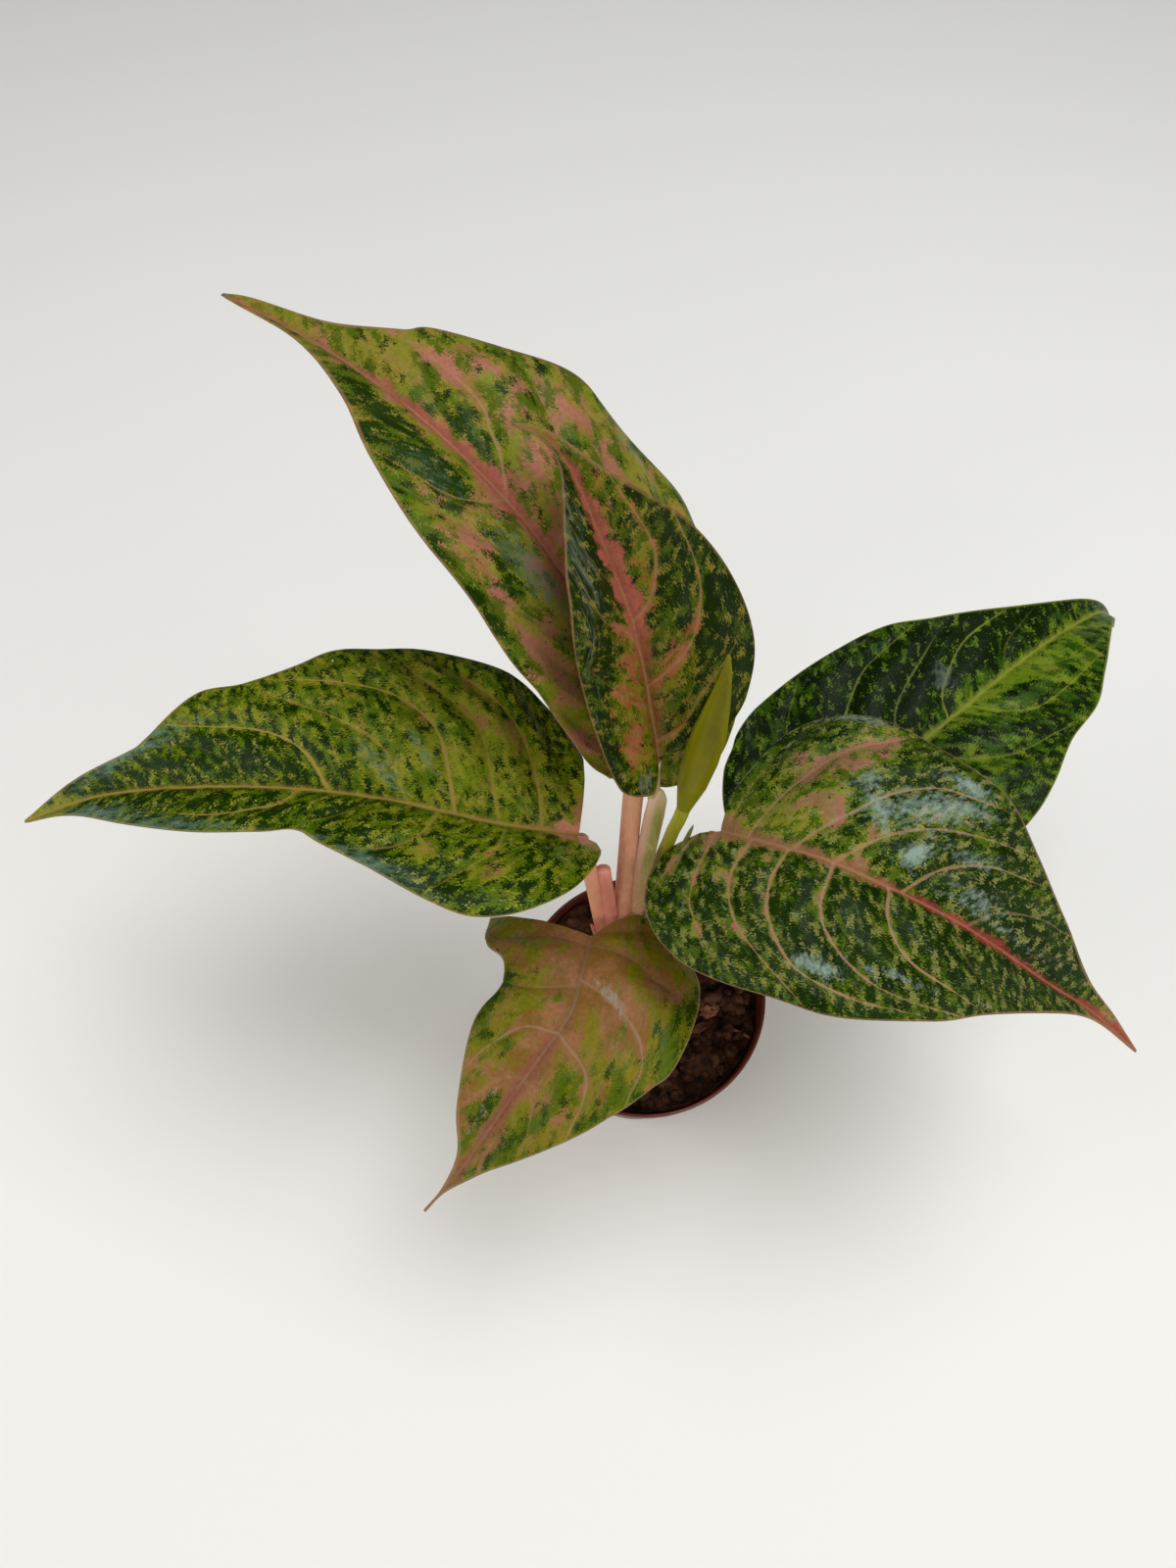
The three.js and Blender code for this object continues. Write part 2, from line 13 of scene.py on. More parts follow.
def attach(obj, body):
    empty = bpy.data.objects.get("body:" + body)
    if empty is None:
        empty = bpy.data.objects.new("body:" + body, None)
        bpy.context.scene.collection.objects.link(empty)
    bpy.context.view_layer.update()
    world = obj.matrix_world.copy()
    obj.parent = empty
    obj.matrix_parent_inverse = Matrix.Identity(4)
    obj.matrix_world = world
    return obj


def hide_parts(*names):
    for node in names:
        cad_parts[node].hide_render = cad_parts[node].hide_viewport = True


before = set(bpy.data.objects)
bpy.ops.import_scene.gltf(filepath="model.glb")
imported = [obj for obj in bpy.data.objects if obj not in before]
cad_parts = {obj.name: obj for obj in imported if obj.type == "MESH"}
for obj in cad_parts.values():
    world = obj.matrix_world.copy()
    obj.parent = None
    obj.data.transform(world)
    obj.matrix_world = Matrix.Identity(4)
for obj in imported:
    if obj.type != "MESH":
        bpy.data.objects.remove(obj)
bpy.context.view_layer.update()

metres = 0.001


def placeObject(name, data):
    thing = bpy.data.objects.new(name, data)
    bpy.context.collection.objects.link(thing)
    return thing


# Camera and lights: the photograph's view from above the near edge

view = {"place": (-20.2, -113.7, 487.2), "dip": 64, "lens": 26, "sensor": 36, "nearest": 0.01}
camera = placeObject("camera", bpy.data.cameras.new("camera"))
camera.data.lens = view["lens"]
camera.data.sensor_width = view["sensor"]
camera.data.clip_start = view["nearest"]
camera.location = Vector(view["place"]) * metres
camera.rotation_euler = (math.radians(90 - view["dip"]), 0, 0)
bpy.context.scene.camera = camera

# each light: where it hangs, what it points at, its side in metres, watts and colour
lights = {
    "window": ((250, 300, 1270), (60, 10, 130), 0.7, 8.6, (0.94, 0.97, 1.0)),
    "left_fill": ((-1100, -200, 760), (0, 20, 120), 1.0, 7.2, (1.0, 0.98, 0.94)),
    "right_fill": ((1050, -450, 700), (40, 0, 120), 1.0, 5.8, (1.0, 0.98, 0.94)),
    "front_fill": ((0, -1200, 700), (0, 0, 120), 1.0, 5.1, (1.0, 0.98, 0.94)),
}
for name, (place, target, side, watts, colour) in lights.items():
    lamp = bpy.data.lights.new(name, "AREA")
    lamp.size = side
    lamp.energy = watts
    lamp.color = colour
    holder = placeObject(name, lamp)
    holder.location = Vector(place) * metres
    aim = Vector(target) - Vector(place)
    holder.rotation_euler = aim.to_track_quat("-Z", "Y").to_euler()

sky = {"Color": (0.95, 0.97, 1.0, 1), "Strength": 0.15}
world = bpy.data.worlds.new("studio")
world.use_nodes = True
for socket, value in sky.items():
    world.node_tree.nodes["Background"].inputs[socket].default_value = value
bpy.context.scene.world = world
bpy.context.scene.view_settings.view_transform = "Standard"


# Small helpers for colours, nodes, pieces and curves

def linear(code):
    # sRGB hex to the linear colour that a socket takes
    channels = [int(code[i:i + 2], 16) / 255 for i in (1, 3, 5)]
    straight = [c / 12.92 if c <= 0.04045 else ((c + 0.055) / 1.055) ** 2.4 for c in channels]
    return (*straight, 1.0)


def addNode(tree, kind, inputs=(), **settings):
    # adds a node, sets its options, and links or sets its inputs, given by name or in order
    node = tree.nodes.new("ShaderNode" + kind)
    for name, value in settings.items():
        setattr(node, name, value)
    for name, value in inputs.items() if isinstance(inputs, dict) else enumerate(inputs):
        if isinstance(value, bpy.types.Node):
            value = value.outputs[0]
        if isinstance(value, bpy.types.NodeSocket):
            tree.links.new(value, node.inputs[name])
        else:
            node.inputs[name].default_value = linear(value) if isinstance(value, str) else value
    return node


def newMaterial(name):
    # an empty material, and the function that adds its nodes
    material = bpy.data.materials.new(name)
    material.use_nodes = True
    material.node_tree.nodes.clear()
    return material, partial(addNode, material.node_tree)


def meshFrom(name, shape):
    mesh = bpy.data.meshes.new(name)
    shape.to_mesh(mesh)
    shape.free()
    return mesh


def finishPiece(name, shape, materials, replaced=None, smooth=True):
    # puts a shape given in millimetres into the scene as a piece that rides on the plant
    mesh = meshFrom(name, shape) if isinstance(shape, bmesh.types.BMesh) else shape
    mesh.transform(Matrix.Scale(metres, 4))
    for material in materials:
        mesh.materials.append(material)
    if smooth:
        mesh.shade_smooth()
    piece = placeObject(name, mesh)
    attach(piece, "root")
    if replaced:
        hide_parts(replaced)
    return piece


def mix(a, b, share):
    return a + (b - a) * share


def rampAlong(values, t):
    # value along a list of evenly spaced values
    return np.interp(np.clip(t, 0, 1), np.linspace(0, 1, len(values)), values)


def curveThrough(points, steps=2400):
    # smooth curve through points, tabulated by its length
    knots = np.array([list(p) + [0] * (3 - len(p)) for p in points], float)
    full = np.vstack([2 * knots[0] - knots[1], knots, 2 * knots[-1] - knots[-2]])
    t = np.linspace(0, len(knots) - 1, steps)
    cell = np.minimum(t.astype(int), len(knots) - 2)
    f = (t - cell)[:, None]
    before, here, after, beyond = (full[cell + k] for k in range(4))
    out, into = 0.5 * (after - before), 0.5 * (beyond - here)
    spots = ((2 * here - 2 * after + out + into) * f ** 3
             + (3 * after - 3 * here - 2 * out - into) * f ** 2 + out * f + here)
    run = np.concatenate([[0], np.cumsum(np.linalg.norm(np.diff(spots, axis=0), axis=1))])
    slope = np.gradient(spots, run, axis=0)
    slope /= np.linalg.norm(slope, axis=1)[:, None]
    return {"run": run, "spots": spots, "slope": slope, "length": run[-1]}


def readCurve(curve, share, key="spots"):
    # place or direction at shares of the curve's length
    where = np.clip(share, 0, 1) * curve["length"]
    return np.stack([np.interp(where, curve["run"], curve[key][:, k]) for k in range(3)], axis=-1)


def unit(vectors):
    return vectors / np.maximum(np.linalg.norm(vectors, axis=-1, keepdims=True), 1e-9)


# midrib in space and how far it rolls to its left, at base and tip; per side the margin on the
# flat blade, the bend of the side veins, the fold up from the midrib at base and tip, the curl
# back down over the given reach, the ripple of the margin as height, waves and phase, and the
# side veins from the stalk outwards, with how clearly each one shows
leaves = {
    "tall": {
        "midrib": [
            (-5, 43, 172), (-10.3, 56, 190.7), (-17.6, 69.2, 209.4), (-28.5, 82, 225.8), (-44, 96, 240),
            (-69, 117, 251), (-99, 142, 252), (-131, 170, 244)],
        "roll": (-6, -2), "reach": 40,
        "left": {
            "margin": [
                (5, 11), (16, 18.5), (44, 28), (66, 35), (98, 35), (123, 26.5), (145, 14), (173, 4),
                (214, 0.4)],
            "bend": 0.4, "fold": (26, 24), "curl": 15, "ripple": (1.2, 2.5, 0.2),
            "shown": [0.2, 0.2, 0.3, 0.5, 0.3, 0.8, 0.1, 0.1],
            "veins": [
                [(2, 0), (6, 8), (12, 15)], [(10, 0), (20, 12), (34, 22)],
                [(28, 0), (40, 12), (56, 22), (72, 28)], [(48, 0), (54, 10), (68, 22), (88, 30)],
                [(72, 0), (80, 10), (94, 20), (114, 27)], [(95, 0), (98, 8), (105, 17), (122, 23)],
                [(118, 0), (126, 8), (140, 13)], [(142, 0), (150, 5), (160, 7.5)]],
        },
        "right": {
            "margin": [
                (-5, 4), (-8, 10), (-8, 24), (4, 38), (30, 45), (54, 48), (68, 53), (94, 49), (108, 47),
                (126, 34.5), (146, 24), (152, 17.5), (172, 7), (203, 3), (214, 0.4)],
            "fold": (12, 20), "curl": 30, "ripple": (1.6, 3, 0.6),
            "shown": [0.2, 0.2, 0.3, 0.4, 0.4, 0.6, 1, 0.2, 0.1],
            "veins": [
                [(-2, 0), (-4, 8), (-3, 18)], [(2, 0), (2, 14), (8, 28)],
                [(12, 0), (16, 16), (26, 32), (38, 42)], [(30, 0), (36, 14), (48, 30), (64, 42)],
                [(52, 0), (58, 14), (72, 28), (90, 38)], [(74, 0), (82, 12), (96, 24), (112, 31)],
                [(94, 0), (105, 8), (112, 11), (120, 15), (145, 16)],
                [(120, 0), (128, 6), (142, 10), (156, 10)], [(150, 0), (160, 4), (172, 5)]],
        },
    },
    "young": {
        "midrib": [
            (1, 41, 188), (-6.5, 65.5, 217), (-16.5, 81, 240), (-25, 95, 252), (-32, 102, 256),
            (-40, 105, 258)],
        "roll": (0, 0), "reach": 30,
        "left": {
            "margin": [
                (-6, 2.5), (-9.5, 6), (-5, 16), (2, 20.5), (21, 24.5), (36, 27), (54, 31.5), (64, 25.5),
                (73, 16), (91, 4), (108, 0.4)],
            "fold": (40, 40), "curl": 10, "ripple": (0.8, 2, 0.1), "shown": [0.3, 0.3, 0.6, 0.3, 0.1],
            "veins": [
                [(2, 0), (4, 8), (10, 16)], [(16, 0), (22, 10), (34, 20)],
                [(34, 0), (42, 5), (50, 14), (60, 18), (66, 19)], [(54, 0), (62, 8), (74, 11)],
                [(72, 0), (80, 4), (88, 5)]],
        },
        "right": {
            "margin": [(4, 22.5), (12.5, 30), (27, 35), (47, 31.5), (66, 22.5), (88, 6), (108, 0.4)],
            "fold": (10, 20), "curl": 25, "ripple": (1, 2, 0.4), "shown": [0.6, 0.9, 0.9, 0.3],
            "veins": [
                [(5, 0), (8, 8), (15, 14), (25, 25)], [(22, 0), (30, 13), (40, 20), (50, 23), (65, 22)],
                [(42, 0), (48, 8), (60, 13), (80, 9)], [(64, 0), (72, 5), (84, 6)]],
        },
    },
    "left": {
        "midrib": [
            (-23, 29, 158), (-50, 29, 168), (-80, 34, 173), (-111, 39, 171), (-145, 43, 164),
            (-179, 44, 155), (-206, 39, 146)],
        "roll": (4, 4), "reach": 44,
        "left": {
            "margin": [
                (-5, 3.5), (-5.5, 9), (1, 20), (12, 29.5), (28, 37.5), (42, 35), (73, 23), (84, 18),
                (96, 19.5), (120, 19.5), (148, 14), (176, 3.6), (190, 0.4)],
            "fold": (40, 24), "curl": 30, "ripple": (1.2, 2.5, 0.3),
            "shown": [0.2, 0.4, 0.5, 0.2, 0.9, 0.1, 0.1],
            "veins": [
                [(6, 0), (6, 12), (12, 24)], [(24, 0), (28, 14), (38, 27)],
                [(45, 0), (48, 12), (55, 20), (66, 23)], [(66, 0), (72, 9), (82, 15)],
                [(90, 0), (93, 7), (100, 10), (115, 13), (135, 11)], [(116, 0), (124, 6), (140, 9)],
                [(140, 0), (148, 4), (160, 5)]],
        },
        "right": {
            "margin": [
                (1, 24.5), (5, 32), (14, 41), (28, 48), (59, 53.5), (76, 49.5), (87, 46.5), (98, 40),
                (114, 34.5), (129, 31.5), (143.5, 17), (151, 12.5), (173, 6), (190, 0.4)],
            "fold": (22, 20), "curl": 30, "ripple": (1.8, 3, 0.8),
            "shown": [0.2, 0.8, 0.6, 1, 0.5, 1, 0.1, 0.1],
            "veins": [
                [(4, 0), (6, 14), (12, 30), (20, 40)], [(12, 0), (17, 18), (27, 33), (45, 43)],
                [(26, 0), (37, 25), (45, 32), (60, 42)],
                [(40, 0), (50, 22), (60, 31), (72, 35), (95, 35)],
                [(55, 0), (65, 15), (78, 22), (98, 28)], [(80, 0), (90, 12), (105, 18), (130, 20)],
                [(104, 0), (114, 8), (128, 13), (142, 14)], [(130, 0), (140, 6), (155, 7)]],
        },
    },
    "right": {
        "midrib": [
            (23, 35, 148), (41, 25, 158), (57, 17, 163), (87, 2, 161), (105, -6, 153), (124, -14, 141),
            (142, -20, 128), (161, -29, 112)],
        "roll": (-4, -4), "reach": 44,
        "left": {
            "margin": [
                (0, 14.5), (4, 26.5), (9, 38), (20, 48.5), (39.5, 54.5), (70, 47), (85.5, 41),
                (107, 25.5), (123, 16), (138, 7), (154, 3.5), (170, 0.4)],
            "fold": (18, 20), "curl": 30, "ripple": (1.6, 2.5, 0.1),
            "shown": [0.3, 0.8, 0.9, 0.7, 0.8, 0.4, 0.1, 0],
            "veins": [
                [(2, 0), (4, 12), (8, 26)], [(10, 0), (18, 18), (30, 35), (42, 47)],
                [(26, 0), (38, 15), (48, 28), (60, 36), (75, 38)],
                [(40, 0), (50, 13), (62, 22), (78, 27), (92, 30)],
                [(62, 0), (70, 12), (83, 20), (95, 23)], [(84, 0), (92, 9), (106, 15), (116, 16)],
                [(106, 0), (114, 6), (126, 9)], [(128, 0), (136, 4), (146, 4)]],
        },
        "right": {
            "margin": [
                (-6, 3.2), (-13.5, 13), (-15, 20.5), (-13.5, 29), (-9, 36.5), (-1, 43), (14, 47.5),
                (43, 47.5), (60, 44.5), (83, 33), (96.5, 24), (117, 12.5), (132, 6), (150, 1.6),
                (170, 0.4)],
            "fold": (14, 20), "curl": 30, "ripple": (1.4, 2.5, 0.5),
            "shown": [0.7, 0.8, 0.8, 1, 0.9, 1, 0.15, 0.1, 0],
            "veins": [
                [(-6, 0), (-8, 10), (-10, 22)], [(-1, 0), (0, 15), (3, 28), (12, 37)],
                [(12, 0), (12, 15), (18, 27), (30, 37), (42, 43)],
                [(25, 0), (25, 15), (30, 27), (42, 37), (60, 38), (75, 34)],
                [(40, 0), (42, 17), (50, 26), (62, 31), (75, 31), (88, 28)],
                [(58, 0), (62, 12), (72, 20), (90, 22)], [(80, 0), (86, 10), (98, 15), (110, 14)],
                [(104, 0), (110, 6), (122, 8)], [(126, 0), (134, 3), (144, 3)]],
        },
    },
    "back": {
        "midrib": [
            (45, 39, 124), (64, 49, 135), (95, 70, 145), (133, 101, 146), (157, 120, 140),
            (175, 133, 130), (187, 138, 113)],
        "roll": (0, 0), "reach": 40,
        "left": {
            "margin": [
                (-6, 4), (-9, 9), (-9, 18), (-4, 29), (4, 39), (16, 46), (62, 45.5), (84, 41.5),
                (101, 30.5), (128, 16.5), (162, 6.3), (190, 0.4)],
            "fold": (14, 20), "curl": 25, "ripple": (1.6, 2.5, 0.7),
            "shown": [0.3, 0.4, 0.8, 0.6, 0.9, 0.3, 0.2],
            "veins": [
                [(0, 0), (-2, 14), (4, 28)], [(14, 0), (18, 16), (28, 32), (40, 42)],
                [(34, 0), (45, 20), (55, 28), (68, 33), (90, 34)],
                [(54, 0), (60, 12), (70, 18), (88, 24)],
                [(75, 0), (78, 7), (85, 12), (100, 18), (118, 18)], [(104, 0), (112, 8), (128, 12)],
                [(134, 0), (144, 5), (158, 6)]],
        },
        "right": {
            "margin": [
                (-6, 4), (-9, 9), (-11, 22), (-4, 34), (14, 43), (40, 47), (67, 44), (81, 40),
                (98.5, 33), (117, 29.5), (133, 21), (162, 7), (190, 0.4)],
            "fold": (14, 20), "curl": 25, "ripple": (1.6, 2.5, 0.2),
            "shown": [0.3, 0.3, 0.4, 0.6, 0.9, 0.4, 0.2],
            "veins": [
                [(0, 0), (-3, 14), (2, 28)], [(14, 0), (16, 16), (26, 32), (40, 42)],
                [(36, 0), (42, 16), (56, 30), (74, 36)], [(60, 0), (66, 13), (80, 24), (98, 28)],
                [(84, 0), (90, 10), (100, 17), (115, 18), (135, 16)],
                [(112, 0), (120, 8), (136, 12), (150, 10)], [(140, 0), (150, 4), (162, 5)]],
        },
    },
    "front": {
        "midrib": [
            (-19, 10.5, 113), (-21.5, -1, 117), (-26, -18, 119), (-37, -33, 115), (-51, -50.5, 105),
            (-62, -64, 96), (-75, -76, 84)],
        "roll": (0, 0), "reach": 38,
        "left": {
            "margin": [
                (-5, 4), (-9, 8), (-12.5, 16), (-5.5, 24), (4.5, 38), (16, 41), (31, 38.5), (37, 34.5),
                (56.5, 26.5), (77, 15), (90, 6.5), (104, 1), (115, 0.4)],
            "fold": (8, 15), "curl": 25, "ripple": (1.2, 2, 0.6),
            "shown": [0.3, 0.5, 0.8, 0.9, 0.3, 0.1],
            "veins": [
                [(-2, 0), (-4, 8), (-6, 14)], [(4, 0), (6, 14), (14, 28)],
                [(18, 0), (25, 15), (32, 28), (40, 31)], [(38, 0), (42, 15), (50, 20), (60, 22)],
                [(56, 0), (62, 8), (74, 13)], [(76, 0), (82, 4), (92, 5)]],
        },
        "right": {
            "margin": [
                (-2, 37), (12, 35), (18, 26.5), (38, 25), (48, 25.5), (58, 22.5), (77.5, 13), (90, 4.3),
                (104, 0.8), (115, 0.4)],
            "fold": (8, 15), "curl": 25, "ripple": (2.4, 2.5, 0.9), "shown": [0.4, 0.5, 0.9, 0.3, 0.1],
            "veins": [
                [(4, 0), (4, 14), (8, 28)], [(20, 0), (24, 10), (28, 20)],
                [(38, 0), (43, 10), (55, 16), (65, 18)], [(56, 0), (62, 7), (74, 11)],
                [(78, 0), (84, 3), (92, 4)]],
        },
    },
}

# how every blade is built, with the sizes of its relief in millimetres
blade = {
    "rows": 220, "columns": 88, "crowd": 1.25,  # columns crowd towards the midrib
    "thickness": 0.85, "edgeThickness": 0.4, "edgeWidth": 4,  # thinner over this width
    "ribDepth": 2.2, "ribWidth": 2.6, "ribTaper": 0.8,
    "rippleEnd": 0.12,  # share of the length over which the ripple dies at the tip
    # rows start and end at these powers of their share, and bow out as the side veins do
    "veinStart": 1.6, "veinEnd": 0.85, "veinElbow": (0.25, 0.6), "lobeElbow": 0.35, "lobeEdge": 0.06,
    # side veins: points on each, how far one is carried on, and what counts as its neighbour's gap
    "veinSteps": 200, "veinPoints": 24, "veinBeyond": 60, "veinFade": 9, "endSpacing": 12,
    "endPhase": 0.49, "leastSpacing": 1e-3, "veinWidths": [0.62, 0.48, 0.38, 0.32, 0.24],
    # pillows between the veins, and how far from midrib and margin they are full
    "pillow": 1.6, "pillowWidth": 4.5, "fromMidrib": 10, "fromMargin": 7,
    # grooves over the side veins and the midrib
    "valley": 0.45, "valleyWidth": 1.5, "valleyLeast": 0.4, "valleyMargin": 9,
    "midribGroove": 0.5, "grooveWidth": 1.2, "grooveEnd": 0.3,
    "leastShare": 0.02, "leastHalf": 0.5,  # keep the width from nought at the midrib
    "lump": 0.35, "lumpWaves": 0.09, "lumpLayer": 3.1, "lumpMargin": 6,
    "farSide": 60.0,  # moves the mottle of the right half away from that of the left
}

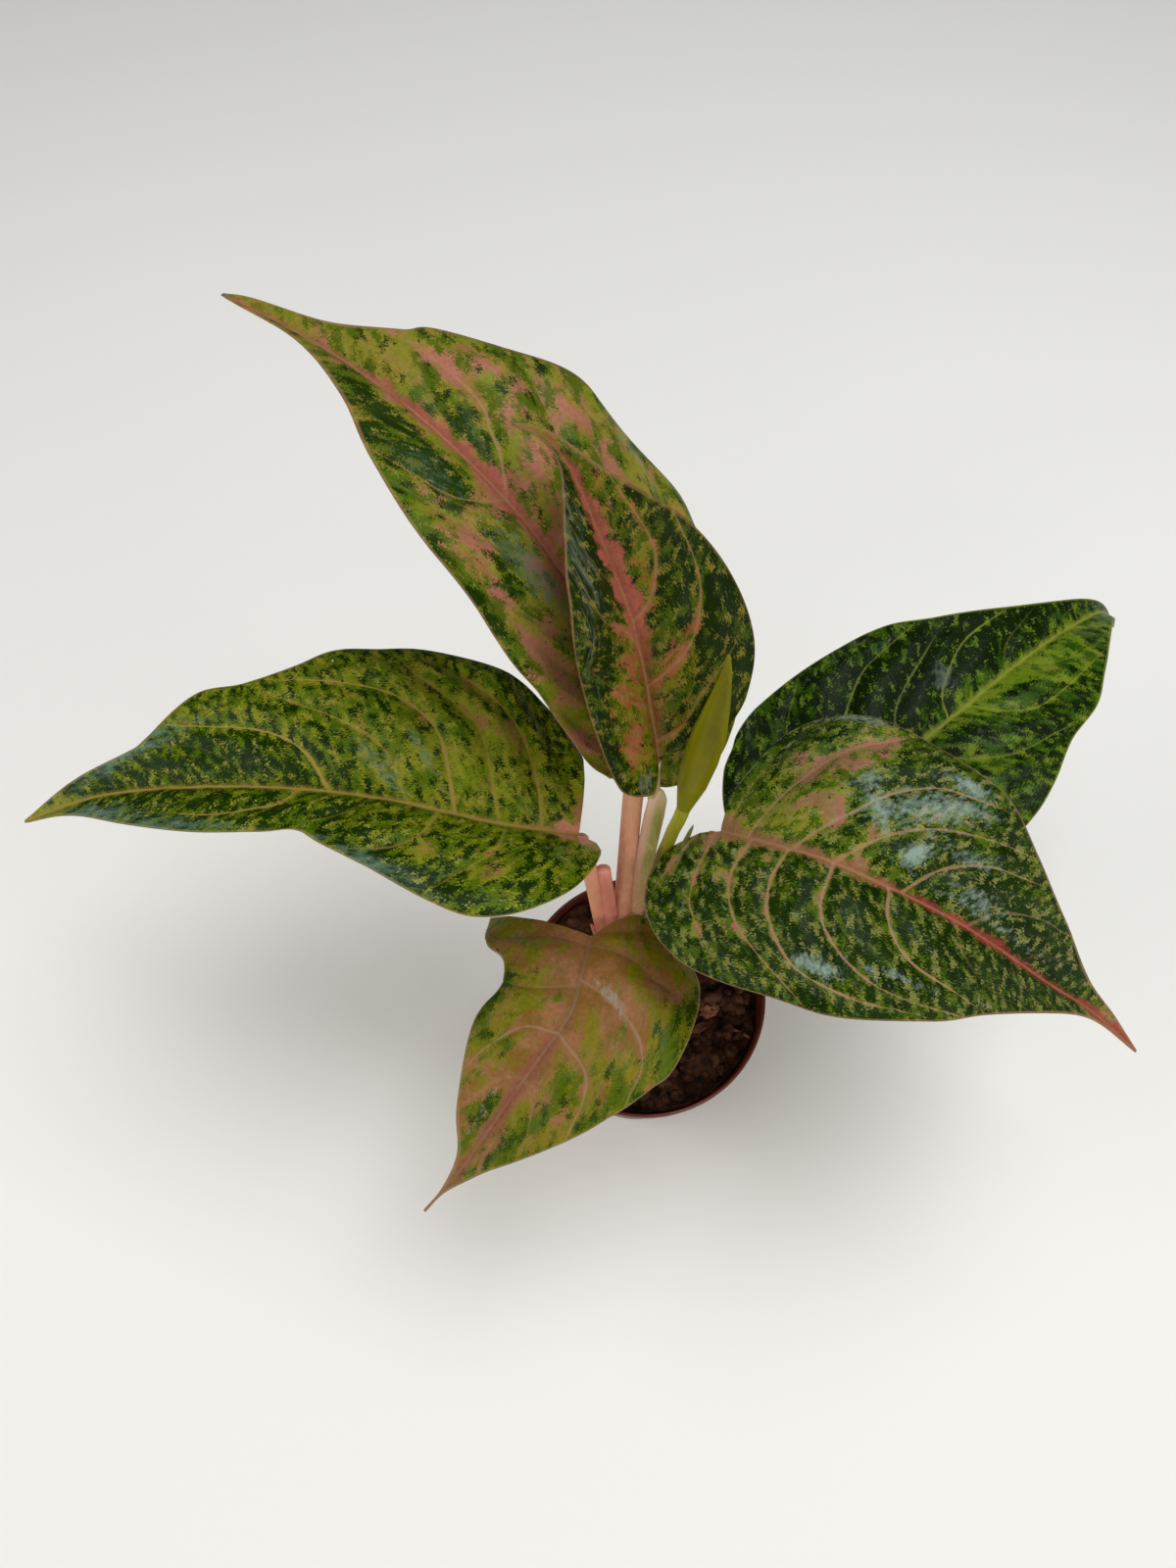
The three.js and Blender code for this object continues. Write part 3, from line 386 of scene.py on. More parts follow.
# where each colour of a leaf gathers: patches on the flat blade as place, half sizes, turn and
# strength; "blush" is pink, "deep" is dark green and takes green away below nought,
# "paintedSheen" is the greyish sheen painted into the colour as a painted highlight; "band" is
# the half width of the coloured band along the midrib by place
patches = {
    "tall": {
        "blush": [
            (74, 5, 12, 4, 5, 0.9), (50, 22, 14, 5, 20, 1.3), (72, 27, 16, 3, 15, 1.0),
            (95, 27, 12, 4, 5, 1.0), (25, 20, 22, 9, 20, 0.5), (85, -8, 22, 7, -15, 0.7),
            (122, 3, 22, 4, 0, 1.1), (132, -16, 18, 3, -2, 1.3), (108, -25, 16, 6, -20, 0.6),
            (100, 6, 4, 7, 10, 1.2), (95, -34, 22, 3, -3, 1.4), (100, -14, 14, 4, -25, 0.5),
            (90, 20, 8, 5, 0, 0.6), (128, -24, 10, 3, 0, 0.8), (70, -36, 14, 4, 20, 0.8)],
        # the first patch, below nought, lightens the blade where the young leaf shades it: painted
        # light
        "deep": [
            (66, 10, 16, 8, 10, -0.8), (78, 22, 13, 5, 15, 0.5), (80, 33, 24, 4, 0, 1.0),
            (112, 15, 13, 7, 0, 1.1), (145, 8, 24, 5, 0, 0.8), (115, -6, 14, 4, -10, 0.9),
            (85, -43, 30, 5, 0, -0.9), (185, -2, 28, 6, 0, -0.7), (30, 20, 30, 12, 0, -0.8),
            (140, -8, 24, 4, 0, -0.6), (115, -30, 14, 5, -20, 0.5)],
        # the third patch also lightens that shaded part with a greyish sheen, painted light against the
        # young leaf's shadow
        "paintedSheen": [
            (112, 14, 12, 6, 0, 0.6), (80, -44, 26, 4, 0, 0.4), (76, 11, 16, 7, 10, 1.3),
            (212, 0, 3, 2, 0, 1.5)],
        "band": [
            (0, 1.2), (40, 1.4), (60, 1.6), (70, 2.6), (90, 2.7), (97, 4.6), (106, 3.2), (118, 2.2),
            (140, 1.6), (152, 0.8), (170, 0.5), (214, 0.5)],
    },
    "young": {
        "blush": [
            (24, 8, 22, 7, 0, 0.5), (16, -6, 14, 5, -20, 0.5), (6, 13, 7, 5, 40, 0.7),
            (14, 10, 14, 8, 15, 0.5), (30, -10, 14, 5, -40, 1.1), (55, -7, 12, 4, -20, 1.1),
            (45, 9, 8, 4, 35, 1.0), (88, -4, 14, 3, 0, 0.9), (22, 13, 12, 6, 0, 0.5),
            (30, 5, 12, 5, 0, 0.9), (80, 12, 10, 3, -30, 0.9)],
        "deep": [
            (105, 0, 8, 4, 0, -2.5), (10, 20, 16, 4, 0, 0.9), (38, 16, 10, 7, 0, 0.6),
            (76, 12, 20, 9, 0, 1.1), (40, -26, 50, 9, 0, 0.7), (14, 6, 16, 7, 0, -0.6),
            (58, 14, 10, 8, 0, 0.8)],
        "paintedSheen": [(72, 13, 20, 6, -20, 0.9), (-4, 8, 4, 4, 0, 1.3), (45, 25, 22, 4, 5, 0.6)],
        "band": [
            (0, 1.4), (10, 2.2), (30, 2.4), (42, 3.4), (55, 4.2), (66, 3.2), (80, 1.7), (93, 0.7),
            (99, 0.1), (108, 0.0)],
    },
    "left": {
        "blush": [
            (-2, 3, 5, 5, 0, 2.0), (1, -8, 2.5, 8, 0, 1.6), (29, 21, 4, 8, -15, 1.2),
            (46, 18, 5, 9, -25, 1.0), (26, -28, 8, 4, -35, 1.1), (40, -30, 12, 3, -30, 0.9),
            (60, -36, 6, 4, -60, 0.6), (46, -41, 8, 3, -20, 0.8)],
        # the first patch darkens the margin where it curls down away from the light: painted shade
        "deep": [
            (55, 27, 26, 5, -15, 1.2), (150, 0, 34, 16, 0, 0.7), (105, -10, 26, 8, -8, 0.8),
            (110, 12, 30, 6, 0, 0.6), (40, -14, 26, 14, 0, -0.5), (34, 14, 30, 10, -10, 0.4),
            (178, 0, 14, 3, 0, -1.0), (75, 8, 5, 4, 0, 0.8), (20, -38, 20, 5, -10, 0.4)],
        # the sixth patch greys that curled margin as well, painted shade; the rest are painted sheen
        "paintedSheen": [
            (66, -10, 11, 4, -38, 0.9), (54, -16, 9, 1.6, -48, 1.2), (166, 8, 26, 5, -8, 1.5),
            (125, 17, 30, 3, -3, 1.1), (152, -13, 26, 4.5, 20, 1.4), (60, 27, 20, 4, -18, 1.2),
            (7, 14, 4, 6, 0, 0.4)],
        "band": [(-5, 5.0), (0, 4.6), (6, 3.4), (11, 1.4), (18, 0.9), (60, 0.6), (190, 0.4)],
    },
    "right": {
        "blush": [
            (22, 26, 26, 16, 35, 0.4), (24, 25, 5, 4, 30, 1.2), (34, 34, 9, 5, 50, 1.7),
            (40, 45, 6, 5, 30, 1.3), (35, 16, 2.5, 6, 0, 1.8), (47, 3, 4, 3, 0, 2.0),
            (2, 2, 6, 5, 0, 1.8), (-4, -5, 6, 4, 0, 1.0), (64, 27, 12, 3, 15, 1.2),
            (62, 20, 5, 2, 20, 1.0), (48, 14, 5, 3, 50, 1.2), (12, -6, 1.7, 1.7, 0, 2.6),
            (21, -6, 1.7, 1.7, 0, 2.6), (-9, -19, 1.6, 7, 0, 1.8), (1, -20, 2, 9, 0, 1.2),
            (10, -17, 4, 3, 0, 1.8), (9, -35, 3, 3, 0, 1.4), (20, -31, 5, 3, -40, 1.8),
            (29, -26, 4, 2, -50, 1.2), (40, -13, 1.6, 3, 0, 1.8), (85, -8, 4, 2, 0, 1.4),
            (105, 20, 10, 2, 0, 0.9), (152, 1, 16, 5, 0, 1.6), (27, 15, 9, 3, 50, 0.7),
            (17, 29, 4, 3, 40, 1.3), (26, 30, 4, 2.5, 20, 1.2), (100, 15, 20, 2, -10, 0.4)],
        "deep": [
            (20, 10, 16, 7, 20, -1.3), (40, -28, 60, 12, 0, 0.5), (100, 12, 30, 12, -15, 0.8),
            (90, -8, 30, 8, 0, 0.6), (8, 40, 8, 10, 60, 0.8), (55, 30, 16, 10, 20, 0.5),
            (110, 8, 30, 8, -10, 0.6)],
        "paintedSheen": [
            (58, 27, 17, 7, 22, 1.15), (46, 20, 3, 8, 40, 0.9), (61, 12, 3, 5, -35, 2.2),
            (68, 41, 8, 2.5, -5, 1.5), (84, 9, 11, 3, 5, 1.0), (47, -34, 8, 2.5, 0, 1.7),
            (66, -27, 12, 1.5, 12, 0.9), (30, 51, 12, 2.5, 10, 1.1), (95, 5, 22, 1.5, 0, 0.7),
            (78, 19, 9, 2.5, 12, 1.0), (70, 33, 9, 3, 10, 0.7), (-8, -12, 1.5, 6, 0, 0.5),
            (40, 30, 4, 3, 40, 0.8)],
        "band": [
            (-6, 2.4), (0, 3.0), (10, 2.5), (25, 2.2), (45, 1.7), (60, 1.0), (75, 1.1), (95, 1.4),
            (115, 0.9), (130, 0.6), (145, 1.4), (170, 2.6)],
    },
    "back": {
        "blush": [],
        "deep": [
            (98, -7, 26, 7, -10, -1.3), (130, -3, 30, 5, 0, -0.9), (45, 25, 50, 20, 0, 0.5),
            (100, -9, 8, 3, -20, 1.8), (76, -9, 7, 4, -20, 1.4), (66, -22, 10, 8, 0, -0.8),
            (105, 17, 50, 11, -8, 1.1), (60, 12, 30, 6, 0, 0.6), (100, -24, 24, 5, 10, 0.5)],
        "paintedSheen": [
            (84, 13, 6, 4, 30, 1.6), (84, -12, 12, 5, -30, 0.5), (60, 42, 30, 2.5, 0, 0.5),
            (120, 28, 20, 3, -20, 0.5)],
        "band": [(0, 1.0), (60, 1.1), (120, 0.9), (160, 0.6), (190, 0.5)],
    },
    "front": {
        "blush": [
            (4, 0, 14, 12, 0, 0.7), (40, 2, 50, 10, 0, 0.9), (20, 16, 14, 12, 30, 0.9),
            (60, -8, 30, 8, 0, 0.6), (46, 26, 12, 3, -20, 0.5), (10, -20, 14, 14, 0, 0.8),
            (66, 16, 10, 3, -20, 0.8)],
        "deep": [
            (26, 34, 14, 5, -18, 0.8), (50, 26, 18, 4, -24, 1.1), (49, 11, 6, 4, 0, 0.9),
            (64, 12, 8, 3, -10, 0.9), (78, 8, 16, 4.5, -14, 1.5), (32, -24, 18, 2.2, -4, 1.5),
            (51, -10, 5, 4, 0, 1.2), (74, -4.5, 14, 2.5, 0, 2.0), (28, -5, 7, 2, 20, 1.0),
            (10, 22, 12, 12, 0, -0.6), (38, 23, 3, 4, 0, 0.8), (50, -22, 8, 2.5, 10, 0.9)],
        "paintedSheen": [(22, 11, 1.8, 8, -35, 1.6), (74, -5, 14, 1.5, 0, 0.6), (8, -26, 6, 5, 0, 0.5)],
        "band": [(0, 0.8), (30, 1.0), (42, 2.2), (62, 2.7), (80, 1.6), (95, 1.4), (115, 1.6)],
    },
}

# colours of each leaf, light to dark, then how much of it each one takes: "pinkAt", "greenAt" and
# "deepAt" are the levels of the mottle that a colour starts from, so a lower one covers more, and
# "fleckAt" is the same for the light flecks; "grain" scales the mottle and "lean" is the angle at
# which it lies; "halo" is the pink beside the side veins; "veinShow", "ribShow" and "rib" are how
# plain the pale lines are and how wide the midrib's is; "band" gives the colours beside the midrib
# near the stalk and further out, and "turn" where one becomes the other; "paintedSheen" is the
# colour of the painted highlight, "sheenAlong" lays it along the blade instead of with the mottle,
# and "sheen" draws it out, more when lower; "speck" is the colour of the few small specks, and how
# many millimetres lie between them
leafLooks = {
    "tall": {
        "grain": 0.9, "light": ("#747a1a", "#8e7a32"), "pink": ("#8e6838", "#a86a58"),
        "green": ("#48600a", "#525a0c"), "deep": ("#1a2c00", "#223804"), "line": "#9c7a50",
        "fleck": "#867e30", "paintedSheen": "#5e7466", "sheenAlong": False, "sheen": 1.0, "halo": 0.3,
        "lean": 60, "veinShow": 0.7, "rib": 0.6, "ribShow": 0.6, "fleckAt": 0.61, "pinkAt": 0.58,
        "greenAt": 0.48, "deepAt": 0.54, "band": ("#84542f", "#a4584a"), "turn": (50, 66),
        "speck": ("#181004", 16),
    },
    "young": {
        "grain": 0.68, "light": ("#66680c", "#78621a"), "pink": ("#7c4e1a", "#96583e"),
        "green": ("#384e00", "#445002"), "deep": ("#101e00", "#182800"), "line": "#8e6a46",
        "fleck": "#766c22", "paintedSheen": "#747c6c", "sheenAlong": True, "sheen": 0.18, "halo": 0.9,
        "lean": 40, "veinShow": 0.7, "rib": 0.6, "ribShow": 0.5, "fleckAt": 0.58, "pinkAt": 0.625,
        "greenAt": 0.42, "deepAt": 0.475, "band": ("#74491f", "#a05444"), "turn": (24, 42),
        "speck": ("#181004", 18),
    },
    "left": {
        "grain": 0.62, "light": ("#707c0e", "#868222"), "pink": ("#8a6830", "#9a6a48"),
        "green": ("#4a6202", "#566808"), "deep": ("#122600", "#1a3000"), "line": "#9c8440",
        "fleck": "#8c8c2c", "paintedSheen": "#668070", "sheenAlong": True, "sheen": 0.3, "halo": 0.4,
        "lean": 40, "veinShow": 0.85, "rib": 0.8, "ribShow": 0.75, "fleckAt": 0.6, "pinkAt": 0.65,
        "greenAt": 0.48, "deepAt": 0.52, "band": ("#c88468", "#968038"), "turn": (6, 14),
        "speck": ("#d4d4c4", 20),
    },
    "right": {
        "grain": 0.62, "light": ("#767c18", "#8e8438"), "pink": ("#8c6844", "#a2685a"),
        "green": ("#3c5602", "#4e600c"), "deep": ("#102200", "#1a3000"), "line": "#a47e5c",
        "fleck": "#7a7c3a", "paintedSheen": "#93a79a", "sheenAlong": False, "sheen": 1.0, "halo": 0.55,
        "lean": 35, "veinShow": 0.8, "rib": 0.6, "ribShow": 0.4, "fleckAt": 0.565, "pinkAt": 0.63,
        "greenAt": 0.41, "deepAt": 0.475, "band": ("#906444", "#983e36"), "turn": (48, 66),
        "speck": ("#181004", 17),
    },
    "back": {
        "grain": 0.95, "light": ("#5c780a", "#748022"), "pink": ("#5c780a", "#748022"),
        "green": ("#2a4604", "#385402"), "deep": ("#0a1800", "#102200"), "line": "#868e2c",
        "fleck": "#5c721e", "paintedSheen": "#5e6a5c", "sheenAlong": False, "sheen": 0.8, "halo": 0.4,
        "lean": 30, "veinShow": 0.6, "rib": 0.7, "ribShow": 0.7, "fleckAt": 0.59, "pinkAt": 0.64,
        "greenAt": 0.45, "deepAt": 0.495, "band": ("#848c34", "#8c9634"), "turn": (60, 100),
        "speck": ("#181004", 24),
    },
    "front": {
        "grain": 0.85, "light": ("#6e6c0c", "#807022"), "pink": ("#7c5824", "#926442"),
        "green": ("#4a5c04", "#58620e"), "deep": ("#223802", "#2e4206"), "line": "#988060",
        "fleck": "#806c32", "paintedSheen": "#968e80", "sheenAlong": False, "sheen": 1.0, "halo": 0.6,
        "lean": 75, "veinShow": 0.6, "rib": 0.5, "ribShow": 0.22, "fleckAt": 0.64, "pinkAt": 0.57,
        "greenAt": 0.54, "deepAt": 0.595, "band": ("#7c5c3c", "#86523e"), "turn": (28, 46),
        "speck": ("#181004", 13),
    },
}

# the leaf's pattern in millimetres, drawn about as fine as the render can show: a noise's scale is
# one over its size, and a range is the readings it runs from and to, then what they become
mottle = {
    "stretch": 0.56,  # across the lean of the flecks
    "cell": 0.7, "jitter": 1.2,  # cells that make every edge of colour step
    "wobble": {"Scale": 1 / 4, "Detail": 5.0, "Roughness": 0.6},
    "swell": {"Scale": 1 / 5, "Detail": 3.0},
    "slow": {"Scale": 1 / 11, "Detail": 4.0}, "tone": (0.38, 0.62),
    "haloWidth": (0.2, 2.2), "haloLift": 0.15, "blushLift": 0.13,
    # each layer of colour: size, what raises it, by how much, and what the pink takes off
    "layers": {"pink": (8.0, "pink", 1.0, 0), "green": (4.6, "green", 0.09, -0.7),
               "deep": (3.6, "green", 0.11, -0.8)},
    "field": {"Detail": 7.0, "Roughness": 0.63}, "apart": (31.7, 11.3, 5.0), "softness": 0.026,
    "flecks": {"Scale": 1 / 2.3, "Detail": 4.0, "Roughness": 0.55}, "fleckEdge": 0.02,
    "fleckCover": 0.9,
    "bandRagged": (0.3, 0.7, 0.1, 1.9), "bandCover": (-0.9, 0.9, 0.0, 0.88),
    "tissue": {"Scale": 1 / 1.6, "Detail": 5.0, "Roughness": 0.7}, "shade": (0.3, 0.7, 0.78, 1.2),
    "veinSwell": (0.35, 0.65, 0.5, 1.5), "veinEdge": (0.5, 1.3),
    "ribRun": (0.0, 110.0), "ribEnd": 0.4, "ribEdge": (0.6, 1.25), "hem": (0.25, 0.6, 0.55, 0.0),
    # the painted highlight: the noise that breaks it up, how much its patches lift it, and its cover
    "crumble": {"Scale": 1 / 1.6, "Detail": 6.0, "Roughness": 0.68}, "paintedSheenLift": 0.22,
    "paintedSheenCover": (0.6, 0.9, 0.0, 0.8),
    "speck": (0.6 * 0.3, 1.4 * 0.3), "speckCover": (0.9, 0.0),  # radii over which a speck fades
    "net": 0.7, "tissueRelief": 2.5, "relief": {"Strength": 0.4, "Distance": 0.0002},  # cuticle
    "rough": (0.3, 0.7, 0.3, 0.42),
    "wax": {"Specular IOR Level": 0.05, "IOR": 1.42, "Coat Weight": 0.11, "Coat Roughness": 0.2,
            "Coat IOR": 1.4},
}
underside = {
    "field": {"Scale": 1 / 4.6, "Detail": 7.0, "Roughness": 0.62}, "edge": (0.45, 0.55),
    "dull": "#8a9170", "dulled": 0.35, "thread": (0.3, 0.8, 0.6, 0.0),
    "rib": (1.6, 2.6, 1.0, 0.0), "ribColour": "#b08a6c",
    "net": 0.7, "relief": {"Strength": 0.3, "Distance": 0.0002},
    "matt": {"Roughness": 0.55, "Specular IOR Level": 0.35},
}


def veinPoint(leaf, half, s, v):
    # place on the flat blade: s runs from the stalk to the tip as the rows do, v from the midrib
    # out to the margin along a curving side vein
    start = leaf["length"] * s ** blade["veinStart"]
    end = readCurve(half["curve"], s ** blade["veinEnd"])
    endX, endY = end[:, 0], end[:, 1]
    ahead = endX - start
    free = np.clip(s / blade["lobeEdge"], 0, 1)
    bendX = half.get("bend", blade["veinElbow"][0]) * np.maximum(0, ahead)
    bendY = blade["veinElbow"][1] * endY + blade["lobeElbow"] * np.maximum(0, -ahead)
    elbowX = start + mix(ahead / 2, bendX, free)
    elbowY = mix(endY / 2, bendY, free)
    w = 1 - v
    return w * w * start + 2 * w * v * elbowX + v * v * endX, 2 * w * v * elbowY + v * v * endY


def veinField(veins, x, y):
    # counts the side veins passed from the base, with the share of the way to the next one, and
    # gives the distance between those two veins and the share run along the nearer one
    spots = np.stack([x, y], axis=1)
    row = np.arange(len(x))
    signed, runs = [], []
    for vein in veins:
        line = curveThrough(vein, blade["veinSteps"])
        line = readCurve(line, np.linspace(0, 1, blade["veinPoints"]))[:, :2]
        outward = unit(line[-1] - line[-2])
        line = np.vstack([line, line[-1] + blade["veinBeyond"] * outward])
        start, step = line[:-1], np.diff(line, axis=0)
        apart = spots[:, None, :] - start[None]
        share = np.clip((apart * step).sum(-1) / (step * step).sum(-1), 0, 1)
        gap = np.linalg.norm(apart - share[..., None] * step, axis=-1)
        near = gap.argmin(axis=1)
        turn = step[near, 0] * apart[row, near, 1] - step[near, 1] * apart[row, near, 0]
        signed.append(-np.sign(turn) * gap[row, near])
        past = np.where(near == len(step) - 1, share[row, near], 0) * blade["veinBeyond"]
        along = np.minimum((near + share[row, near]) / (len(step) - 1), 1)
        runs.append(along + past / blade["veinFade"])
    signed, runs = np.array(signed), np.array(runs)
    passed = (signed > 0).sum(axis=0)
    last = len(veins) - 1
    behind = np.abs(signed[np.clip(passed - 1, 0, last), row])
    before = np.abs(signed[np.clip(passed, 0, last), row])
    spacing = np.maximum(behind + before, blade["leastSpacing"])
    phase = passed - 1 + behind / spacing
    first, final = passed == 0, passed > last
    phase[first] = -np.minimum(before[first] / blade["endSpacing"], blade["endPhase"])
    phase[final] = last + np.minimum(behind[final] / blade["endSpacing"], blade["endPhase"])
    spacing[first | final] = blade["endSpacing"]
    nearest = np.clip(np.round(phase).astype(int), 0, last)
    return phase, spacing, nearest, runs[nearest, row]


def patchField(spots, x, y):
    total = np.zeros_like(x)
    for midX, midY, halfX, halfY, turn, strength in spots:
        c, s = math.cos(math.radians(turn)), math.sin(math.radians(turn))
        along = ((x - midX) * c + (y - midY) * s) / halfX
        beside = ((y - midY) * c - (x - midX) * s) / halfY
        total += strength * np.exp(-along ** 2 - beside ** 2)
    return total


def bladeHalf(leaf, half, sign, s, v):
    # surface, its normal, and what the pattern needs, for points of one half of a blade
    x, y = veinPoint(leaf, half, s, v)
    t = np.clip(x / leaf["length"], 0, 1)
    forward = unit(readCurve(leaf["curve"], t, "slope"))
    spot = readCurve(leaf["curve"], t) + forward * (x - t * leaf["length"])[:, None]
    level = unit(np.array([0, 0, 1]) - forward * forward[:, 2:])
    sideways = np.cross(level, forward)
    roll = np.radians(mix(*leaf["roll"], t))[:, None]
    up = level * np.cos(roll) + sideways * np.sin(roll)
    left = np.cross(up, forward)
    fold = np.radians(mix(*half["fold"], t))
    curl = math.radians(half["curl"])
    slope = fold - curl * y / leaf["reach"]
    reach = leaf["reach"] / curl
    across = reach * (np.sin(fold) - np.sin(slope))
    height, waves, start = half["ripple"]
    swing = np.sin(2 * np.pi * (waves * x / leaf["length"] + start))
    ripple = height * (y / leaf["reach"]) ** 2 * swing * np.clip((1 - t) / blade["rippleEnd"], 0, 1)
    phase, spacing, nearest, run = veinField(half["veins"], x, y)
    shown = np.array(half["shown"], float)[nearest] * np.clip(2 - run, 0, 1)
    fromVein = np.abs(phase - np.round(phase)) * spacing
    edge = (1 - v) * np.maximum(y / np.maximum(v, blade["leastShare"]), blade["leastHalf"])
    full = np.clip(y / blade["fromMidrib"], 0, 1) * np.clip(edge / blade["fromMargin"], 0, 1)
    pillow = blade["pillow"] * (1 - np.exp(-(fromVein / blade["pillowWidth"]) ** 2)) * full
    valley = blade["valley"] * np.exp(-(fromVein / blade["valleyWidth"]) ** 2)
    valley *= mix(blade["valleyLeast"], 1, shown) * np.clip(edge / blade["valleyMargin"], 0, 1)
    groove = blade["midribGroove"] * np.exp(-(y / blade["grooveWidth"]) ** 2)
    groove *= np.clip((1 - t) / blade["grooveEnd"], 0, 1)
    rise = reach * (np.cos(slope) - np.cos(fold)) + ripple + pillow - valley - groove
    tilt = np.where(v < 1e-6, 0, slope)[:, None]
    rib = blade["ribDepth"] * (1 - s) ** blade["ribTaper"] * np.clip(1 - y / blade["ribWidth"], 0, 1)
    body = np.clip(edge / blade["edgeWidth"], 0, 1)
    body = mix(blade["edgeThickness"], blade["thickness"], body)
    return {
        "flat": np.stack([x, sign * y, np.zeros_like(x)], 1),
        "surface": spot + left * (sign * across)[:, None] + up * rise[:, None],
        "normal": up * np.cos(tilt) - left * sign * np.sin(tilt),
        "depth": (body + rib)[:, None],
        "vein": np.stack([phase, spacing, edge], 1),
        "line": np.stack([shown, rampAlong(blade["veinWidths"], run)], 1),
    }


def buildBlade(name, leaf):
    leaf["curve"] = curveThrough(leaf["midrib"])
    leaf["length"] = leaf["curve"]["length"]
    for side in ("left", "right"):
        margin = leaf[side]["margin"]
        stretch = leaf["length"] / margin[-1][0]
        leaf[side]["curve"] = curveThrough([(x * stretch, y) for x, y in margin])
    shape = bmesh.new()
    bmesh.ops.create_grid(shape, x_segments=blade["columns"], y_segments=blade["rows"], size=1)
    grid = np.array([v.co[:2] for v in shape.verts])
    u, s = grid[:, 0], (grid[:, 1] + 1) / 2
    v = np.abs(u) ** blade["crowd"]
    leftHalf = bladeHalf(leaf, leaf["left"], 1, s, v)
    rightHalf = bladeHalf(leaf, leaf["right"], -1, s, v)
    onLeft = (u < 0)[:, None]
    data = {key: np.where(onLeft, leftHalf[key], rightHalf[key]) for key in leftHalf}
    x, y = data["flat"][:, 0], data["flat"][:, 1]
    waves = blade["lumpWaves"]
    lumps = [noise.noise((a * waves, b * waves, blade["lumpLayer"])) for a, b in zip(x, y)]
    rise = blade["lump"] * np.array(lumps) * np.clip(data["vein"][:, 2] / blade["lumpMargin"], 0, 1)
    upper = data["surface"] + data["normal"] * rise[:, None]
    lower = upper - data["normal"] * data["depth"]
    for vert, spot in zip(shape.verts, upper):
        vert.co = spot
    copy = bmesh.ops.duplicate(shape, geom=shape.verts[:] + shape.edges[:] + shape.faces[:])
    under = [f for f in copy["geom"] if isinstance(f, bmesh.types.BMFace)]
    shape.verts.ensure_lookup_table()
    for index, spot in enumerate(lower):
        shape.verts[len(upper) + index].co = spot
    bmesh.ops.reverse_faces(shape, faces=under)
    for face in under:
        face.material_index = 1
    bmesh.ops.bridge_loops(shape, edges=[e for e in shape.edges if e.is_boundary])
    bmesh.ops.recalc_face_normals(shape, faces=shape.faces[:])
    mesh = meshFrom("blade_" + name, shape)

    # what the materials read: place, veins, patches, the lean of the flecks, and the lines
    spots = patches[name]
    lean, out = math.radians(leafLooks[name]["lean"]), np.abs(y)
    flow = [x * math.cos(lean) - out * math.sin(lean),
            (x * math.sin(lean) + out * math.cos(lean)) * mottle["stretch"],
            np.where(y > 0, 0.0, blade["farSide"])]
    band = np.interp(x, *zip(*spots["band"]))
    layers = {
        "flat": data["flat"], "vein": data["vein"],
        "tint": np.stack([patchField(spots[key], x, y) for key in ("blush", "deep", "paintedSheen")], 1),
        "flow": np.stack(flow, 1), "line": np.hstack([data["line"], band[:, None]]),
    }
    for key, values in layers.items():
        layer = mesh.attributes.new(key, "FLOAT_VECTOR", "POINT")
        layer.data.foreach_set("vector", np.vstack([values, values]).astype(np.float32).ravel())
    return mesh


def readAttribute(add, key):
    return add("SeparateXYZ", [add("Attribute", attribute_name=key).outputs["Vector"]]).outputs


def bladeMap(add):
    # place on the flat blade, the way run along it, and the distances to the margin, the midrib
    # and the nearest side vein
    flat = add("Attribute", attribute_name="flat").outputs["Vector"]
    travel, beside, _ = add("SeparateXYZ", [flat]).outputs
    phase, spacing, edge = readAttribute(add, "vein")
    fromRib = add("Math", [beside], operation="ABSOLUTE")
    whole = add("Math", [phase], operation="ROUND")
    part = add("Math", [phase, whole], operation="SUBTRACT")
    size = add("Math", [part], operation="ABSOLUTE")
    fromVein = add("Math", [size, spacing], operation="MULTIPLY")
    return flat, travel, edge, fromRib, fromVein


